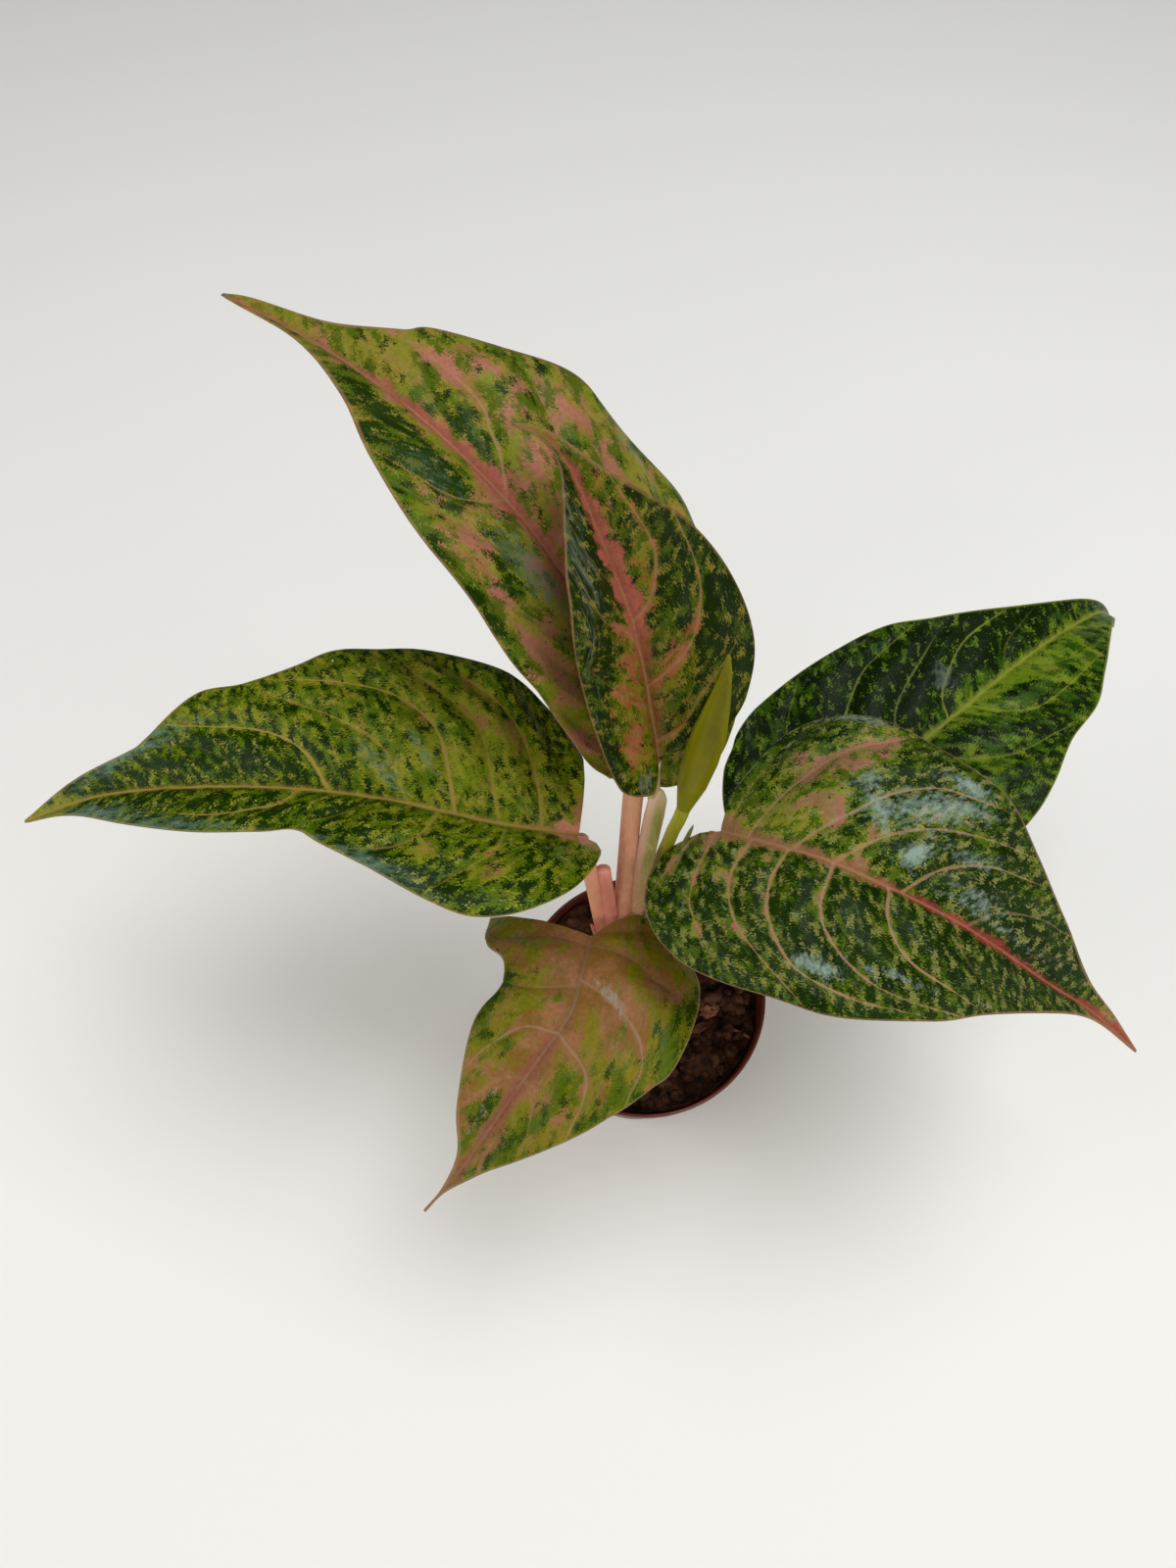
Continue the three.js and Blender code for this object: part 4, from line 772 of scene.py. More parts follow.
# Living aroid leaf: a waxy cuticle over mottled tissue, so it is satin, with soft bright sheen
# painted into the colour on the pillows between the veins as a painted highlight, and its colours
# break along the side veins with ragged edges
def leafTop(name, look):
    material, add = newMaterial("living_leaf_" + name)
    flat, travel, edge, fromRib, fromVein = bladeMap(add)
    flow = add("Attribute", attribute_name="flow").outputs["Vector"]
    blush, deep, paintedSheen = readAttribute(add, "tint")
    shown, veinWide, bandWide = readAttribute(add, "line")

    # coordinates that lean with the side veins and step from cell to cell, for ragged edges
    cells = add("TexVoronoi", {"Vector": flat, "Scale": 1 / mottle["cell"]})
    step = add("VectorMath", [cells.outputs["Position"], flat], operation="SUBTRACT")
    ragged = add("VectorMath", {0: step, "Scale": mottle["jitter"]}, operation="SCALE")
    course = add("VectorMath", [flow, ragged], operation="ADD")
    wobble = add("TexNoise", {"Vector": course, **mottle["wobble"]})
    swell = add("TexNoise", {"Vector": flat, **mottle["swell"]})

    # pink gathers in its patches and, brokenly, beside the side veins
    halo = [fromVein, *mottle["haloWidth"], mottle["haloLift"] * look["halo"], 0.0]
    halo = add("MapRange", halo, interpolation_type="SMOOTHSTEP")
    halo = add("Math", [halo, shown], operation="MULTIPLY")
    blushed = add("Math", [blush, mottle["blushLift"], halo], operation="MULTIPLY_ADD")

    # the three layers over the light ground
    lifts = {"pink": blushed, "green": deep}
    slow = add("TexNoise", {"Vector": flat, **mottle["slow"]})
    tone = add("MapRange", [slow, *mottle["tone"]])
    colour = add("MixRGB", [tone, *look["light"]])
    for index, (part, (size, lift, gain, loss)) in enumerate(mottle["layers"].items()):
        apart = [index * mottle["apart"][0], index * mottle["apart"][1], mottle["apart"][2]]
        shifted = add("VectorMath", [course, apart], operation="ADD")
        scale = 1 / (size * look["grain"])
        field = add("TexNoise", {"Vector": shifted, "Scale": scale, **mottle["field"]})
        raised = add("Math", [lifts[lift], gain, field], operation="MULTIPLY_ADD")
        if loss:
            raised = add("Math", [blushed, loss, raised], operation="MULTIPLY_ADD")
        level = look[part + "At"]
        mask = add("MapRange", [raised, level - mottle["softness"], level + mottle["softness"]])
        colour = add("MixRGB", [mask, colour, add("MixRGB", [tone, *look[part]])])

    # light flecks on the green
    flecks = add("TexNoise", {"Vector": course, **mottle["flecks"]})
    start = look["fleckAt"]
    bright = [flecks, start, start + mottle["fleckEdge"], 0.0, mottle["fleckCover"]]
    colour = add("MixRGB", [add("MapRange", bright), colour, look["fleck"]])

    # band beside the midrib, ragged at its edge and rose further out
    reach = add("MapRange", [wobble, *mottle["bandRagged"]])
    reach = add("Math", [bandWide, reach], operation="MULTIPLY")
    inside = add("Math", [reach, fromRib], operation="SUBTRACT")
    within = add("MapRange", [inside, *mottle["bandCover"]])
    turned = add("MapRange", [travel, *look["turn"]])
    colour = add("MixRGB", [within, colour, add("MixRGB", [turned, *look["band"]])])

    # tissue is never one even shade
    tissue = add("TexNoise", {"Vector": flat, **mottle["tissue"]})
    shade = add("MapRange", [tissue, *mottle["shade"]])
    colour = add("VectorMath", [colour, shade], operation="MULTIPLY")

    # thin pale lines: side veins that swell, thin out and fade, the midrib and the margin
    veinEdge = add("MapRange", [swell, *mottle["veinSwell"]])
    veinEdge = add("Math", [veinEdge, veinWide], operation="MULTIPLY")
    share = add("Math", [fromVein, veinEdge], operation="DIVIDE")
    thread = add("MapRange", [share, *mottle["veinEdge"], look["veinShow"], 0.0])
    thread = add("Math", [thread, shown], operation="MULTIPLY")
    ribEdge = add("MapRange", [travel, *mottle["ribRun"], look["rib"], mottle["ribEnd"]])
    share = add("Math", [fromRib, ribEdge], operation="DIVIDE")
    rib = add("MapRange", [share, *mottle["ribEdge"], look["ribShow"], 0.0])
    hem = add("MapRange", [edge, *mottle["hem"]])
    for mask in (thread, rib, hem):
        colour = add("MixRGB", [mask, colour, look["line"]])

    # painted highlight: a broken greyish sheen painted into the colour on the crowns between the veins,
    # where the waxy cuticle would catch the light, and here and there over shaded parts
    drawnOut = [flat if look["sheenAlong"] else flow, (look["sheen"], 1.0, 1.0)]
    drawnOut = add("VectorMath", drawnOut, operation="MULTIPLY")
    crumble = add("TexNoise", {"Vector": drawnOut, **mottle["crumble"]})
    lifted = add("Math", [paintedSheen, mottle["paintedSheenLift"], crumble], operation="MULTIPLY_ADD")
    paintedSheenMask = add("MapRange", [lifted, *mottle["paintedSheenCover"]])
    colour = add("MixRGB", [paintedSheenMask, colour, look["paintedSheen"]])

    # a few specks of dust or scorch
    speckColour, gap = look["speck"]
    dots = add("TexVoronoi", {"Vector": flat, "Scale": 1 / gap})
    edges = [size / gap for size in mottle["speck"]]
    speck = add("MapRange", [dots, *edges, *mottle["speckCover"]])
    colour = add("MixRGB", [speck, colour, speckColour])

    net = add("TexVoronoi", {"Vector": flat, "Scale": 1 / mottle["net"]})
    relief = add("Math", [tissue, mottle["tissueRelief"], net], operation="MULTIPLY_ADD")
    bump = add("Bump", {"Height": relief, **mottle["relief"]})
    rough = add("MapRange", [tissue, *mottle["rough"]])
    shader = add("BsdfPrincipled", {"Base Color": colour, "Roughness": rough, "Normal": bump,
                                    "Coat Normal": bump, **mottle["wax"]})
    add("OutputMaterial", [shader])
    return material


# Underside of the same leaf: matt and paler, with the ribs standing out
def leafUnder(name, look):
    material, add = newMaterial("leaf_underside_" + name)
    flat, _, _, fromRib, fromVein = bladeMap(add)
    field = add("TexNoise", {"Vector": flat, **underside["field"]})
    mask = add("MapRange", [field, *underside["edge"]])
    colour = add("MixRGB", [mask, look["light"][1], look["green"][1]])
    colour = add("MixRGB", [underside["dulled"], colour, underside["dull"]])
    thread = add("MapRange", [fromVein, *underside["thread"]])
    colour = add("MixRGB", [thread, colour, look["line"]])
    rib = add("MapRange", [fromRib, *underside["rib"]])
    colour = add("MixRGB", [rib, colour, underside["ribColour"]])
    net = add("TexVoronoi", {"Vector": flat, "Scale": 1 / underside["net"]})
    bump = add("Bump", {"Height": net, **underside["relief"]})
    shader = add("BsdfPrincipled", {"Base Color": colour, "Normal": bump, **underside["matt"]})
    add("OutputMaterial", [shader])
    return material


for name, leaf in leaves.items():
    look = leafLooks[name]
    skins = [leafTop(name, look), leafUnder(name, look)]
    finishPiece("leaf_" + name, buildBlade(name, leaf), skins, "blade_" + name)
    print("leaf", name, "length", round(leaf["length"], 1), "mm")


# leaf stalks: course, radius, and where one shows the sheath's course, half widths, depth, the
# share of its length that its end is rounded over, and the middle and reach of its front colour
# across it; then the skin's colours: at the foot, at the top, along both edges (their own paler
# colour with painted light shining through and glancing off them), in the middle of the front, and
# of the fine streaks
stalks = {
    "tall": {
        "course": [
            (-8.7, 8.5, 84), (-9.4, 14.5, 96), (-7.9, 22.8, 109), (-6.8, 32.4, 135), (-5.9, 40.3, 163),
            (-5, 42.5, 169.8)],
        "radius": 3.3, "skin": ("#b87452", "#d09474", "#d08c70", "#d89c7c", "#e0aa88"),
    },
    "young": {
        "course": [
            (-7.5, 9, 84), (-4, 16, 96), (-1.8, 23.8, 109), (-0.3, 32.5, 135), (1, 38, 156),
            (0.1, 40.4, 172), (-0.4, 41, 185)],
        "radius": 2.1, "skin": ("#c08c60", "#c8b080", "#d8b894", "#a8a058", "#d4bc90"),
        "sheath": [
            (-5.2, 15.5, 94), (-3.4, 21, 106), (-1.8, 28, 127), (-0.1, 33.5, 145), (1.4, 37.3, 161),
            (1.9, 38.6, 166), (2.1, 39.3, 170)],
        "sheathHalf": [2.6, 2.6, 2.9, 3.2, 3.3, 3.3, 2.8], "sheathDepth": 1.4, "sheathEnd": 0.07,
        "sheathSkin": ("#c08058", "#dcb8a0", "#ccae88", "#8a9430", "#c8b488"),
        "sheathLean": (0.38, 1.0),
    },
    "left": {
        "course": [
            (-9, 9, 83), (-13, 16.5, 94), (-15.9, 20.7, 106), (-19.3, 26, 132), (-22.2, 28.5, 150),
            (-22.6, 28.8, 154.8)],
        "radius": 2.7, "skin": ("#dc7860", "#e4ac88", "#dc9074", "#e09c7c", "#e8b090"),
        "sheath": [(-9.5, 13, 90), (-11.7, 18.4, 103), (-13.5, 22.9, 118), (-15.3, 26.9, 135.5)],
        "sheathHalf": [2.5, 2.7, 2.7, 2.5], "sheathDepth": 1.9, "sheathEnd": 0.012,
        "sheathSkin": ("#dc6c58", "#e49c84", "#e08870", "#e08c74", "#e8a48c"),
    },
    "right": {
        "course": [
            (-7.5, 9, 83), (-1, 14, 94), (6, 20, 108), (14, 27.5, 128), (21, 33.5, 144),
            (21.2, 33.6, 144.5)],
        "radius": 2.8, "skin": ("#c8a070", "#a8a058", "#c8b080", "#a4a05c", "#d0c088"),
        "sheath": [
            (-2.5, 14, 94), (3, 20.5, 109), (8.5, 28.5, 129), (12.4, 34, 143), (14.2, 36, 149.5)],
        "sheathHalf": [2.6, 2.6, 2.2, 1.3, 0.4], "sheathDepth": 1.1, "sheathEnd": 0.06,
        "sheathSkin": ("#c0a070", "#8c9448", "#a8a870", "#7c8438", "#a8a868"),
    },
    "back": {
        "course": [
            (-6.5, 10, 83), (3, 16, 91), (14, 24, 100), (30, 33, 112), (41, 38, 120),
            (43, 38.5, 121.8)],
        "radius": 2.6, "skin": ("#b89860", "#90903c", "#a89c58", "#9c9848", "#b0a860"),
    },
    "front": {
        "course": [(-9.5, 7, 82), (-14, 6.5, 90), (-17.5, 8, 101), (-18.7, 9.9, 109.9)], "radius": 2.2,
        "skin": ("#d07860", "#d89074", "#dc8c78", "#dc9c80", "#e0a484"),
    },
}

# where a stalk clasps the cane: half sizes, share of its length and how fast it narrows; then how
# flat its front is, and the share of its depth that a sheath keeps at its end
stalkForm = {"width": 4.3, "depth": 3.4, "end": 0.45, "ease": 1.5, "flat": 0.12, "sheathEnd": 0.4}

# the skin of every stalk: the noises' scales are waves per metre, about 1 and 6 mm long and drawn
# out ten times along the stalk; ranges as in the leaf's pattern
fleshy = {
    "along": (1.0, 1.0, 0.1), "streaks": {"Scale": 900.0, "Detail": 4.0},
    "clouds": {"Scale": 160.0, "Detail": 3.0}, "cloudShade": (0.35, 0.65, 0.9, 1.06),
    "frontCore": 0.15, "frontCover": 0.85, "rising": (0.15, 0.55), "falling": (0.85, 1.0, 1.0, 0.1),
    "rim": (0.82, 0.99, 0.0, 0.7), "lined": (0.45, 0.62, 0.0, 0.35),
    "relief": {"Strength": 0.15, "Distance": 0.0002},
    "tissue": {"Subsurface Weight": 0.15, "Subsurface Radius": (0.003, 0.0015, 0.001),
               "Specular IOR Level": 0.15},
}


def wrappedTube(course, section, around=40, rings=60):
    # grid rolled round a curve; section gives the two half sizes at a share of its length
    curve = curveThrough(course)
    shape = bmesh.new()
    bmesh.ops.create_grid(shape, x_segments=around, y_segments=rings, size=1)
    grid = np.array([v.co[:2] for v in shape.verts])
    angle, t = grid[:, 0] * np.pi, (grid[:, 1] + 1) / 2
    wrap = shape.verts.layers.float_vector.new("wrap")
    centre, forward = readCurve(curve, t), unit(readCurve(curve, t, "slope"))
    across = unit(np.array([1, 0, 0]) - forward * forward[:, :1])
    deep = np.cross(forward, across)
    wide, thick = section(t, angle)
    spots = (centre + across * (wide * np.cos(angle))[:, None]
             + deep * (thick * np.sin(angle))[:, None])
    for vert, spot, a, share in zip(shape.verts, spots, angle, t):
        vert.co = spot
        vert[wrap] = (math.cos(a), math.sin(a), share)
    bmesh.ops.remove_doubles(shape, verts=shape.verts[:], dist=0.001)
    closeShape(shape)
    if shape.calc_volume(signed=True) < 0:
        bmesh.ops.reverse_faces(shape, faces=shape.faces[:])
    return shape


def closeShape(shape):
    ends = [e for e in shape.edges if e.is_boundary]
    bmesh.ops.holes_fill(shape, edges=ends, sides=0)
    bmesh.ops.recalc_face_normals(shape, faces=shape.faces[:])


# Fleshy leaf stalk: watery tissue under a thin skin, so it glows a little and shines softly, with
# fine lengthwise streaks, and paler along both sides, partly the thin edges' own colour and partly
# painted light shining through them
def stalkSkin(name, foot, top, rim, front, streak, rough=0.42, lean=(0.0, 0.75)):
    material, add = newMaterial(name)
    place = add("TexCoord").outputs["Object"]
    across, _, climb = readAttribute(add, "wrap")
    wave = add("Mapping", {"Vector": place, "Scale": fleshy["along"]})
    streaks = add("TexNoise", {"Vector": wave, **fleshy["streaks"]})
    clouds = add("TexNoise", {"Vector": wave, **fleshy["clouds"]})
    colour = add("MixRGB", [climb, foot, top])

    # front colour in the middle, which comes in above the foot and goes below the top
    off = add("Math", [across, lean[0]], operation="SUBTRACT")
    off = add("Math", [off], operation="ABSOLUTE")
    middle = [off, fleshy["frontCore"], lean[1], fleshy["frontCover"], 0.0]
    middle = add("MapRange", middle, interpolation_type="SMOOTHSTEP")
    for key in ("rising", "falling"):
        middle = add("Math", [middle, add("MapRange", [climb, *fleshy[key]])], operation="MULTIPLY")
    colour = add("MixRGB", [middle, colour, front])

    # pale edges, their own colour with painted light shining through the thin sides, then streaks
    # and slow random changes of tone
    side = add("Math", [across], operation="ABSOLUTE")
    colour = add("MixRGB", [add("MapRange", [side, *fleshy["rim"]]), colour, rim])
    colour = add("MixRGB", [add("MapRange", [streaks, *fleshy["lined"]]), colour, streak])
    shade = add("MapRange", [clouds, *fleshy["cloudShade"]])
    colour = add("VectorMath", [colour, shade], operation="MULTIPLY")
    bump = add("Bump", {"Height": streaks, **fleshy["relief"]})
    shader = add("BsdfPrincipled", {"Base Color": colour, "Normal": bump, "Roughness": rough,
                                    **fleshy["tissue"]})
    add("OutputMaterial", [shader])
    return material


def leafStalkSection(stalk):
    def section(t, angle):
        clasp = (1 - np.clip(t / stalkForm["end"], 0, 1)) ** stalkForm["ease"]
        flat = 1 - stalkForm["flat"] * np.clip(np.sin(angle), 0, 1) ** 2
        return (mix(stalk["radius"], stalkForm["width"], clasp) * flat,
                mix(stalk["radius"], stalkForm["depth"], clasp) * flat)
    return section


def sheathSection(stalk):
    def section(t, angle):
        close = np.sqrt(np.clip((1 - t) / stalk["sheathEnd"], 0, 1))
        return (rampAlong(stalk["sheathHalf"], t) * close,
                stalk["sheathDepth"] * mix(stalkForm["sheathEnd"], 1, close))
    return section


def roundSection(radius):
    return lambda t, angle: (0 * t + radius, 0 * t + radius)


for name, stalk in stalks.items():
    skin = stalkSkin("stalk_tissue_" + name, *stalk["skin"])
    tube = wrappedTube(stalk["course"], leafStalkSection(stalk))
    finishPiece("leaf_stalk_" + name, tube, [skin], "stalk_" + name)
    if "sheath" in stalk:
        lean = stalk.get("sheathLean", (0.0, 0.75))
        skin = stalkSkin("sheath_tissue_" + name, *stalk["sheathSkin"], lean=lean)
        tube = wrappedTube(stalk["sheath"], sheathSection(stalk))
        finishPiece("sheath_" + name, tube, [skin])
    print("stalk", name)

# flower bud: the hood is rolled, so one edge laps over the other along a slow spiral
bud = {
    "course": [(0, 25, 112), (2.6, 30, 121), (4.8, 32.6, 132), (6.3, 33, 143), (7.2, 32.2, 155),
               (8.2, 31, 166), (9.5, 32, 175)],
    "hood": [(9.2, 31.6, 173), (11, 35, 182), (14, 40.5, 197), (16, 44.6, 211), (17.3, 47.8, 223),
             (17.3, 49.6, 231)],
    "stalkRadius": 2.2, "radii": [2.2, 4.3, 5.0, 4.7, 3.5, 1.9, 0.5],
    "spiral": 0.35, "spiralStart": 0.4, "lap": 0.09, "tipEnd": 0.02, "tipLeast": 0.3,
    "around": 60, "rings": 90, "hoodRough": 0.36,
    "stalkSkin": ("#a49c2c", "#94921c", "#b4b048", "#969420", "#a8a43c"),
    "hoodSkin": ("#7c7a0c", "#706a04", "#8e8e1a", "#5e5802", "#766e0c"),
}


def hoodSection(t, angle):
    turn = np.mod(angle / (2 * np.pi) + bud["spiral"] * t + bud["spiralStart"], 1)
    tip = np.sqrt(np.clip((1 - t) / bud["tipEnd"], 0, 1))
    radius = rampAlong(bud["radii"], t) * (1 + bud["lap"] * turn) * mix(bud["tipLeast"], 1, tip)
    return radius, radius


skin = stalkSkin("bud_stalk_tissue", *bud["stalkSkin"])
tube = wrappedTube(bud["course"], roundSection(bud["stalkRadius"]))
finishPiece("bud_stalk", tube, [skin], "flower_bud")
skin = stalkSkin("bud_hood_tissue", *bud["hoodSkin"], rough=bud["hoodRough"])
tube = wrappedTube(bud["hood"], hoodSection, bud["around"], bud["rings"])
finishPiece("bud_hood", tube, [skin])

scaleLeaf = {
    "course": [(-10, 11, 82), (-15, 17, 88.5), (-19, 20, 97)],
    "radii": [2.6, 2.4, 0.5], "depth": 0.8, "around": 24, "rings": 24,
    "skin": ("#c86c58", "#e4a08c", "#e0988c", "#d88474", "#e8a898"),
}


def scaleSection(t, angle):
    radius = rampAlong(scaleLeaf["radii"], t)
    return radius, scaleLeaf["depth"] * radius


skin = stalkSkin("scale_tissue", *scaleLeaf["skin"])
tube = wrappedTube(scaleLeaf["course"], scaleSection, scaleLeaf["around"], scaleLeaf["rings"])
finishPiece("scale_leaf_skin", tube, [skin], "scale_leaf")

# cane with a shallow ring where each old leaf sat
stem = {
    "course": [(-4, 1, 38), (-5, 3, 58), (-7.5, 7, 76), (-8.5, 9.5, 88)],
    "radius": 6, "topRadius": 4.2, "tall": 54, "ringGap": 4.5, "ringEase": 0.4,
    "ring": (0.95, 0.05), "around": 40, "rings": 90, "rough": 0.6,
    "skin": ("#6a4834", "#b07a5c", "#86624a", "#8e6a4e", "#a07c60"),
}


def stemSection(t, angle):
    ring = np.abs(np.sin(np.pi * t * stem["tall"] / stem["ringGap"])) ** stem["ringEase"]
    least, swell = stem["ring"]
    radius = mix(stem["radius"], stem["topRadius"], t ** 4) * (least + swell * ring)
    return radius, radius


skin = stalkSkin("cane_skin", *stem["skin"], rough=stem["rough"])
tube = wrappedTube(stem["course"], stemSection, stem["around"], stem["rings"])
finishPiece("stem_cane", tube, [skin], "stem")
print("bud, scale leaf and stem")


pot = {
    "height": 80, "rimRadius": 45, "collarFoot": 43.6, "collarHeight": 10, "shoulderRadius": 42,
    "footRadius": 32, "wall": 1.3, "floor": 1.6, "shoulderStep": 0.8, "lip": 0.45, "drainHoles": 8,
    "drainRadius": 3.2, "drainCircle": 26, "drillDepth": 10, "turns": 144, "sharpFrom": 40,
}
# its plastic: waves per metre, so flow marks 4 mm and dust 17 mm wide; the painted shade inside
# the pot, in the soil's dark colour, begins where the wall's inner face does, given as slope,
# radius at the foot and depth in metres, below the lip
plastic = {
    "colours": ("#5a2016", "#6e2c1e"), "dust": "#84604e", "peat": "#1a0a06",
    "along": (1.0, 1.0, 0.15), "flowMarks": {"Scale": 260.0, "Detail": 3.0},
    "dustPatch": {"Scale": 60.0, "Detail": 8.0, "Roughness": 0.7},
    "dusty": (0.5, 0.75, 0.0, 0.25), "rough": (0.35, 0.7, 0.34, 0.6),
    "wallSlope": 0.14, "wallFoot": 0.0334, "inner": (0.0012, 0.0016, 0.0, 0.9),
    "belowLip": (0.0782, 0.0792, 1.0, 0.0), "relief": {"Strength": 0.15, "Distance": 0.0002},
    "gloss": {"IOR": 1.49},
}


def turnedPot():
    # half section spun round the axis, lip and edges rounded with a bevel
    foot, shoulder = pot["footRadius"], pot["shoulderRadius"]
    high = pot["height"] - pot["collarHeight"]
    wall, rim, collar = pot["wall"], pot["rimRadius"], pot["collarFoot"]
    innerFoot = mix(foot, shoulder, pot["floor"] / high) - wall
    section = [(0, 0), (foot, 0), (shoulder, high - pot["shoulderStep"]), (collar, high),
               (rim, pot["height"]), (rim - wall, pot["height"]), (collar - wall, high),
               (shoulder - wall, high - pot["shoulderStep"]), (innerFoot, pot["floor"]),
               (0, pot["floor"])]
    shape = bmesh.new()
    corners = [shape.verts.new((radius, 0, height)) for radius, height in section]
    for pair in zip(corners, corners[1:]):
        shape.edges.new(pair)
    bmesh.ops.bevel(shape, geom=corners[1:-1], offset=pot["lip"], segments=4, profile=0.5,
                    affect="VERTICES", material=-1)
    bmesh.ops.spin(shape, geom=shape.verts[:] + shape.edges[:], axis=(0, 0, 1), cent=(0, 0, 0),
                   angle=2 * math.pi, steps=pot["turns"], use_merge=True)
    bmesh.ops.remove_doubles(shape, verts=shape.verts[:], dist=0.001)
    bmesh.ops.recalc_face_normals(shape, faces=shape.faces[:])
    return shape


def drainDrills():
    shape = bmesh.new()
    for index in range(pot["drainHoles"]):
        angle = 2 * math.pi * (index + 0.5) / pot["drainHoles"]
        spot = (pot["drainCircle"] * math.cos(angle), pot["drainCircle"] * math.sin(angle), 0)
        bmesh.ops.create_cone(shape, cap_ends=True, segments=32, radius1=pot["drainRadius"],
                              radius2=pot["drainRadius"], depth=pot["drillDepth"],
                              matrix=Matrix.Translation(spot))
    return shape


# Injection-moulded polypropylene, red-brown: smooth with a dull shine, faint streaks where the
# plastic flowed, dust on the wall, and the inside below the lip painted dark in the soil's colour,
# a painted shade
def potPlastic():
    material, add = newMaterial("moulded_polypropylene")
    place = add("TexCoord").outputs["Object"]
    stretched = add("Mapping", {"Vector": place, "Scale": plastic["along"]})
    flowMarks = add("TexNoise", {"Vector": stretched, **plastic["flowMarks"]})
    dust = add("TexNoise", {"Vector": place, **plastic["dustPatch"]})
    colour = add("MixRGB", [flowMarks, *plastic["colours"]])
    dusty = add("MapRange", [dust, *plastic["dusty"]])
    colour = add("MixRGB", [dusty, colour, plastic["dust"]])
    # painted shade: the inner face of the wall below the lip is darkened to the soil's colour
    flatten = add("VectorMath", [place, (1.0, 1.0, 0.0)], operation="MULTIPLY")
    reach = add("VectorMath", [flatten], operation="LENGTH").outputs["Value"]
    height = add("SeparateXYZ", [place]).outputs[2]
    wallAt = [height, plastic["wallSlope"], plastic["wallFoot"]]
    wallAt = add("Math", wallAt, operation="MULTIPLY_ADD")
    inward = add("Math", [wallAt, reach], operation="SUBTRACT")
    inner = add("MapRange", [inward, *plastic["inner"]])
    below = add("MapRange", [height, *plastic["belowLip"]])
    paintedShade = add("Math", [inner, below], operation="MULTIPLY")
    colour = add("MixRGB", [paintedShade, colour, plastic["peat"]])
    rough = add("MapRange", [dust, *plastic["rough"]])
    bump = add("Bump", {"Height": flowMarks, **plastic["relief"]})
    shader = add("BsdfPrincipled", {"Base Color": colour, "Roughness": rough, "Normal": bump,
                                    **plastic["gloss"]})
    add("OutputMaterial", [shader])
    return material


# the drills are taken out of the shell, and slivers along the cuts merged
shell = placeObject("shell", meshFrom("pot_shell", turnedPot()))
drill = placeObject("drill", meshFrom("drills", drainDrills()))
cut = shell.modifiers.new("drain", "BOOLEAN")
cut.object = drill
cut.operation = "DIFFERENCE"
cut.solver = "EXACT"
bpy.context.view_layer.update()
evaluated = shell.evaluated_get(bpy.context.evaluated_depsgraph_get())
drilled = bmesh.new()
drilled.from_mesh(bpy.data.meshes.new_from_object(evaluated))
for thing in (shell, drill):
    bpy.data.objects.remove(thing)
bmesh.ops.remove_doubles(drilled, verts=drilled.verts[:], dist=0.02)
bmesh.ops.dissolve_degenerate(drilled, edges=drilled.edges[:], dist=0.02)
potPiece = finishPiece("pot_body", drilled, [potPlastic()], "pot")
potPiece.data.set_sharp_from_angle(angle=math.radians(pot["sharpFrom"]))
print("pot")

# soil bed: mean height of its face, its foot and gap to the wall, the relief of the face as
# amount, waves per millimetre and layer of the noise, and the loose pieces on it: each kind's
# count, size range, how far its pieces are squeezed across and in height, and how often its ball
# is divided
soil = {
    "top": 72.6, "foot": 1.95, "gap": 0.3, "wallShare": 0.06, "rings": 100, "around": 200,
    "relief": [(2.6, 0.055, 1.7), (1.9, 0.16, 8.3), (0.9, 0.5, 4.2)], "edgeRise": 1.2, "reach": 41,
    "fractal": (0.8, 2.0, 3),  # roughness, how much finer each octave is, and octaves
    "crowd": 0.8,  # rings crowd towards the wall
    "seed": 11, "strewn": 40, "small": 2.2, "tilt": 1.2, "sunk": 0.1, "ragged": 0.18,
    "crumbs": (800, (0.5, 1.6), ((0.6, 1.0), (0.5, 0.9)), 1),
    "clods": (230, (1.6, 3.6), ((0.6, 1.0), (0.4, 0.8)), 2),
    "bark": (46, (2.0, 5.5), ((0.3, 0.6), (0.12, 0.3)), 1),
    "chip": ((24.4, -5.3), (4.2, 2.6, 1.3), 25, 3),  # place, half sizes, turn, divisions
    "straw": [(30.6, -11.6), (34.5, -13.2), (38.7, -15.9)], "strawRadius": 0.6, "strawLift": 1.6,
    "strawAround": 12, "strawRings": 20,
}
# its skins: dark, light and dry colour, then waves per metre for crumbs of 4 mm and clods of 11 mm
crumbly = {
    "damp_peat": ("#0e0402", "#58301e", "#704830"), "dry_peat": ("#1c0b06", "#6c4430", "#80563e"),
    "pine_bark": ("#2c140a", "#7a4830", "#8c5a40"), "dry_bark": ("#6c3c2c", "#b87c60", "#a06a50"),
    "dry_straw": ("#7a4c34", "#a8745a", "#9a6a50"),
    "crumb": {"Scale": 260.0, "Detail": 8.0, "Roughness": 0.68}, "light": (0.38, 0.7),
    "clod": {"Scale": 95.0, "Detail": 2.0}, "dry": (0.52, 0.68, 0.0, 0.5),
    "relief": {"Strength": 0.9, "Distance": 0.001},
    "matt": {"Roughness": 0.85, "Specular IOR Level": 0.2},
}


def soilHeight(x, y):
    rise = 0
    for amount, waves, layer in soil["relief"]:
        rise += amount * noise.fractal((x * waves, y * waves, layer), *soil["fractal"])
    return soil["top"] + rise + soil["edgeRise"] * (math.hypot(x, y) / soil["reach"]) ** 4


def potInside(height):
    # radius that the soil fills at a height
    shoulder = pot["height"] - pot["collarHeight"]
    if height > shoulder:
        share = (height - shoulder) / pot["collarHeight"]
        radius = mix(pot["collarFoot"], pot["rimRadius"], share)
    else:
        radius = mix(pot["footRadius"], pot["shoulderRadius"], height / shoulder)
    return radius - pot["wall"] - soil["gap"]


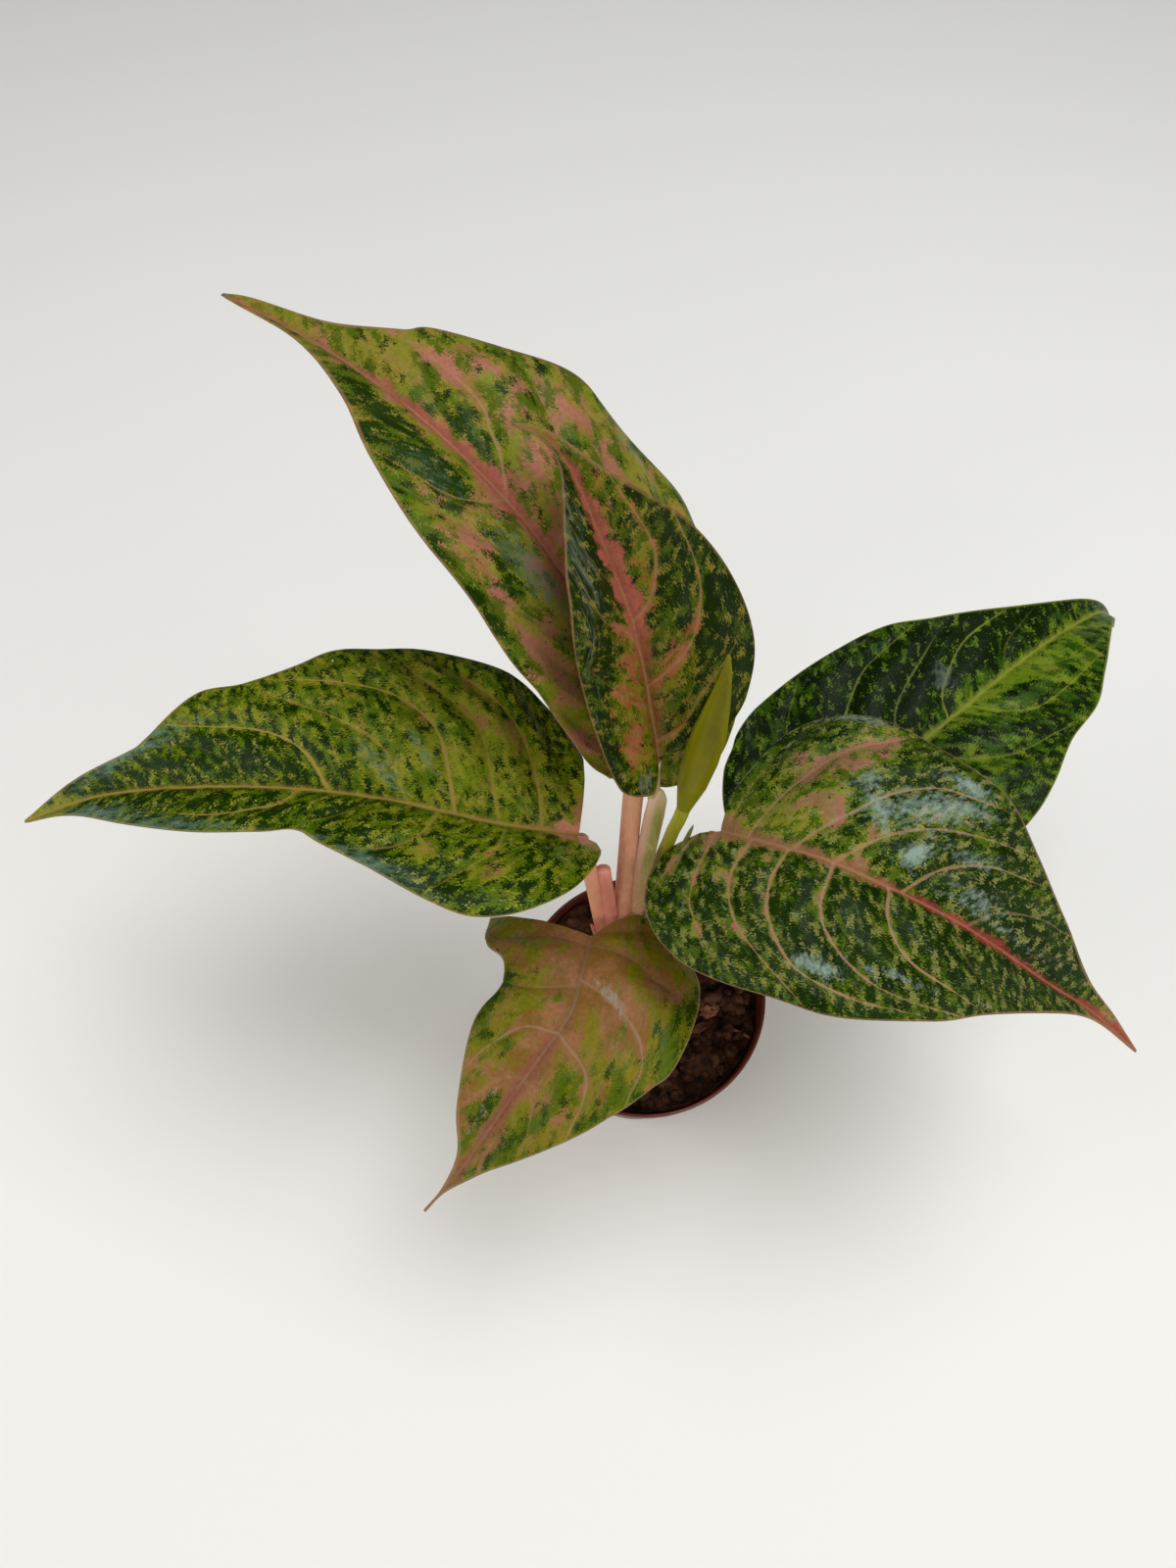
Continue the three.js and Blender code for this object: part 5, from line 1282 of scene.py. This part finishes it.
def soilBody():
    # grid rolled into a plug: the first rows are its wall, the rest close in over its face
    shape = bmesh.new()
    bmesh.ops.create_grid(shape, x_segments=soil["around"], y_segments=soil["rings"], size=1)
    shoulder = pot["height"] - pot["collarHeight"] - 2 * pot["shoulderStep"]
    wall, rim = soil["wallShare"], potInside(soil["top"])
    for vert in shape.verts:
        angle, share = vert.co.x * math.pi, (vert.co.y + 1) / 2
        if share < wall / 2:
            height = mix(soil["foot"], shoulder, 2 * share / wall)
            radius = potInside(height)
        elif share < wall:
            height, radius = shoulder, mix(potInside(shoulder), rim, 2 * share / wall - 1)
        else:
            radius = rim * (1 - (share - wall) / (1 - wall)) ** soil["crowd"]
        x, y = radius * math.cos(angle), radius * math.sin(angle)
        if share >= wall:
            height = soilHeight(x, y)
        vert.co = (x, y, height)
    bmesh.ops.remove_doubles(shape, verts=shape.verts[:], dist=0.02)
    closeShape(shape)
    return shape


def addLump(shape, x, y, halves, turn, tip, divisions):
    # one small ball pressed to its half sizes, pushed out of round and kept inside the pot
    place = Matrix.Translation((x, y, soilHeight(x, y) + soil["sunk"] * halves[0]))
    lump = bmesh.ops.create_icosphere(shape, subdivisions=divisions, radius=1,
                                      matrix=place @ turn @ tip @ Matrix.Diagonal((*halves, 1)))
    ragged = soil["ragged"]
    for vert in lump["verts"]:
        vert.co += Vector([random.uniform(-ragged, ragged) * halves[1] for _ in range(3)])
        reach = math.hypot(vert.co.x, vert.co.y)
        if reach > soil["reach"]:
            vert.co.x *= soil["reach"] / reach
            vert.co.y *= soil["reach"] / reach


def scatter(count, sizes, squeeze, divisions):
    shape = bmesh.new()
    for _ in range(count):
        radius = soil["strewn"] * math.sqrt(random.random())
        angle = 2 * math.pi * random.random()
        size = mix(*sizes, random.random() ** soil["small"])
        halves = (size, size * random.uniform(*squeeze[0]), size * random.uniform(*squeeze[1]))
        turn = Matrix.Rotation(2 * math.pi * random.random(), 4, "Z")
        tip = Matrix.Rotation(soil["tilt"] * (random.random() - 0.5), 4, "X")
        x, y = radius * math.cos(angle), radius * math.sin(angle)
        addLump(shape, x, y, halves, turn, tip, divisions)
    return shape


# Damp potting soil: peat fibre and bark, near black where wet, with brown lights where clods are
# dry; the tone changes from clod to clod
def soilSkin(name):
    material, add = newMaterial(name)
    dark, light, dry = crumbly[name]
    place = add("TexCoord").outputs["Object"]
    crumb = add("TexNoise", {"Vector": place, **crumbly["crumb"]})
    clod = add("TexNoise", {"Vector": place, **crumbly["clod"]})
    colour = add("MixRGB", [add("MapRange", [crumb, *crumbly["light"]]), dark, light])
    colour = add("MixRGB", [add("MapRange", [clod, *crumbly["dry"]]), colour, dry])
    bump = add("Bump", {"Height": crumb, **crumbly["relief"]})
    shader = add("BsdfPrincipled", {"Base Color": colour, "Normal": bump, **crumbly["matt"]})
    add("OutputMaterial", [shader])
    return material


random.seed(soil["seed"])
peat, dryPeat, bark = [soilSkin(name) for name in ("damp_peat", "dry_peat", "pine_bark")]
finishPiece("soil_bed", soilBody(), [peat], "soil")
finishPiece("soil_crumbs", scatter(*soil["crumbs"]), [peat], smooth=False)
finishPiece("soil_clods", scatter(*soil["clods"]), [dryPeat])
finishPiece("bark_chips", scatter(*soil["bark"]), [bark], smooth=False)
chip = bmesh.new()
(x, y), halves, turn, divisions = soil["chip"]
turn = Matrix.Rotation(math.radians(turn), 4, "Z")
addLump(chip, x, y, halves, turn, Matrix.Identity(4), divisions)
finishPiece("pale_chip", chip, [soilSkin("dry_bark")])
course = [(x, y, soilHeight(x, y) + soil["strawLift"]) for x, y in soil["straw"]]
section = roundSection(soil["strawRadius"])
tube = wrappedTube(course, section, soil["strawAround"], soil["strawRings"])
finishPiece("straw", tube, [soilSkin("dry_straw")])
print("soil")

# plain pale floor, matt as paper
paper = {"Base Color": "#f4f2ee", "Roughness": 0.9, "Specular IOR Level": 0.1}
ground = bmesh.new()
bmesh.ops.create_grid(ground, x_segments=2, y_segments=2, size=4)
floor = placeObject("ground", meshFrom("ground", ground))
material, add = newMaterial("matte_paper")
add("OutputMaterial", [add("BsdfPrincipled", paper)])
floor.data.materials.append(material)
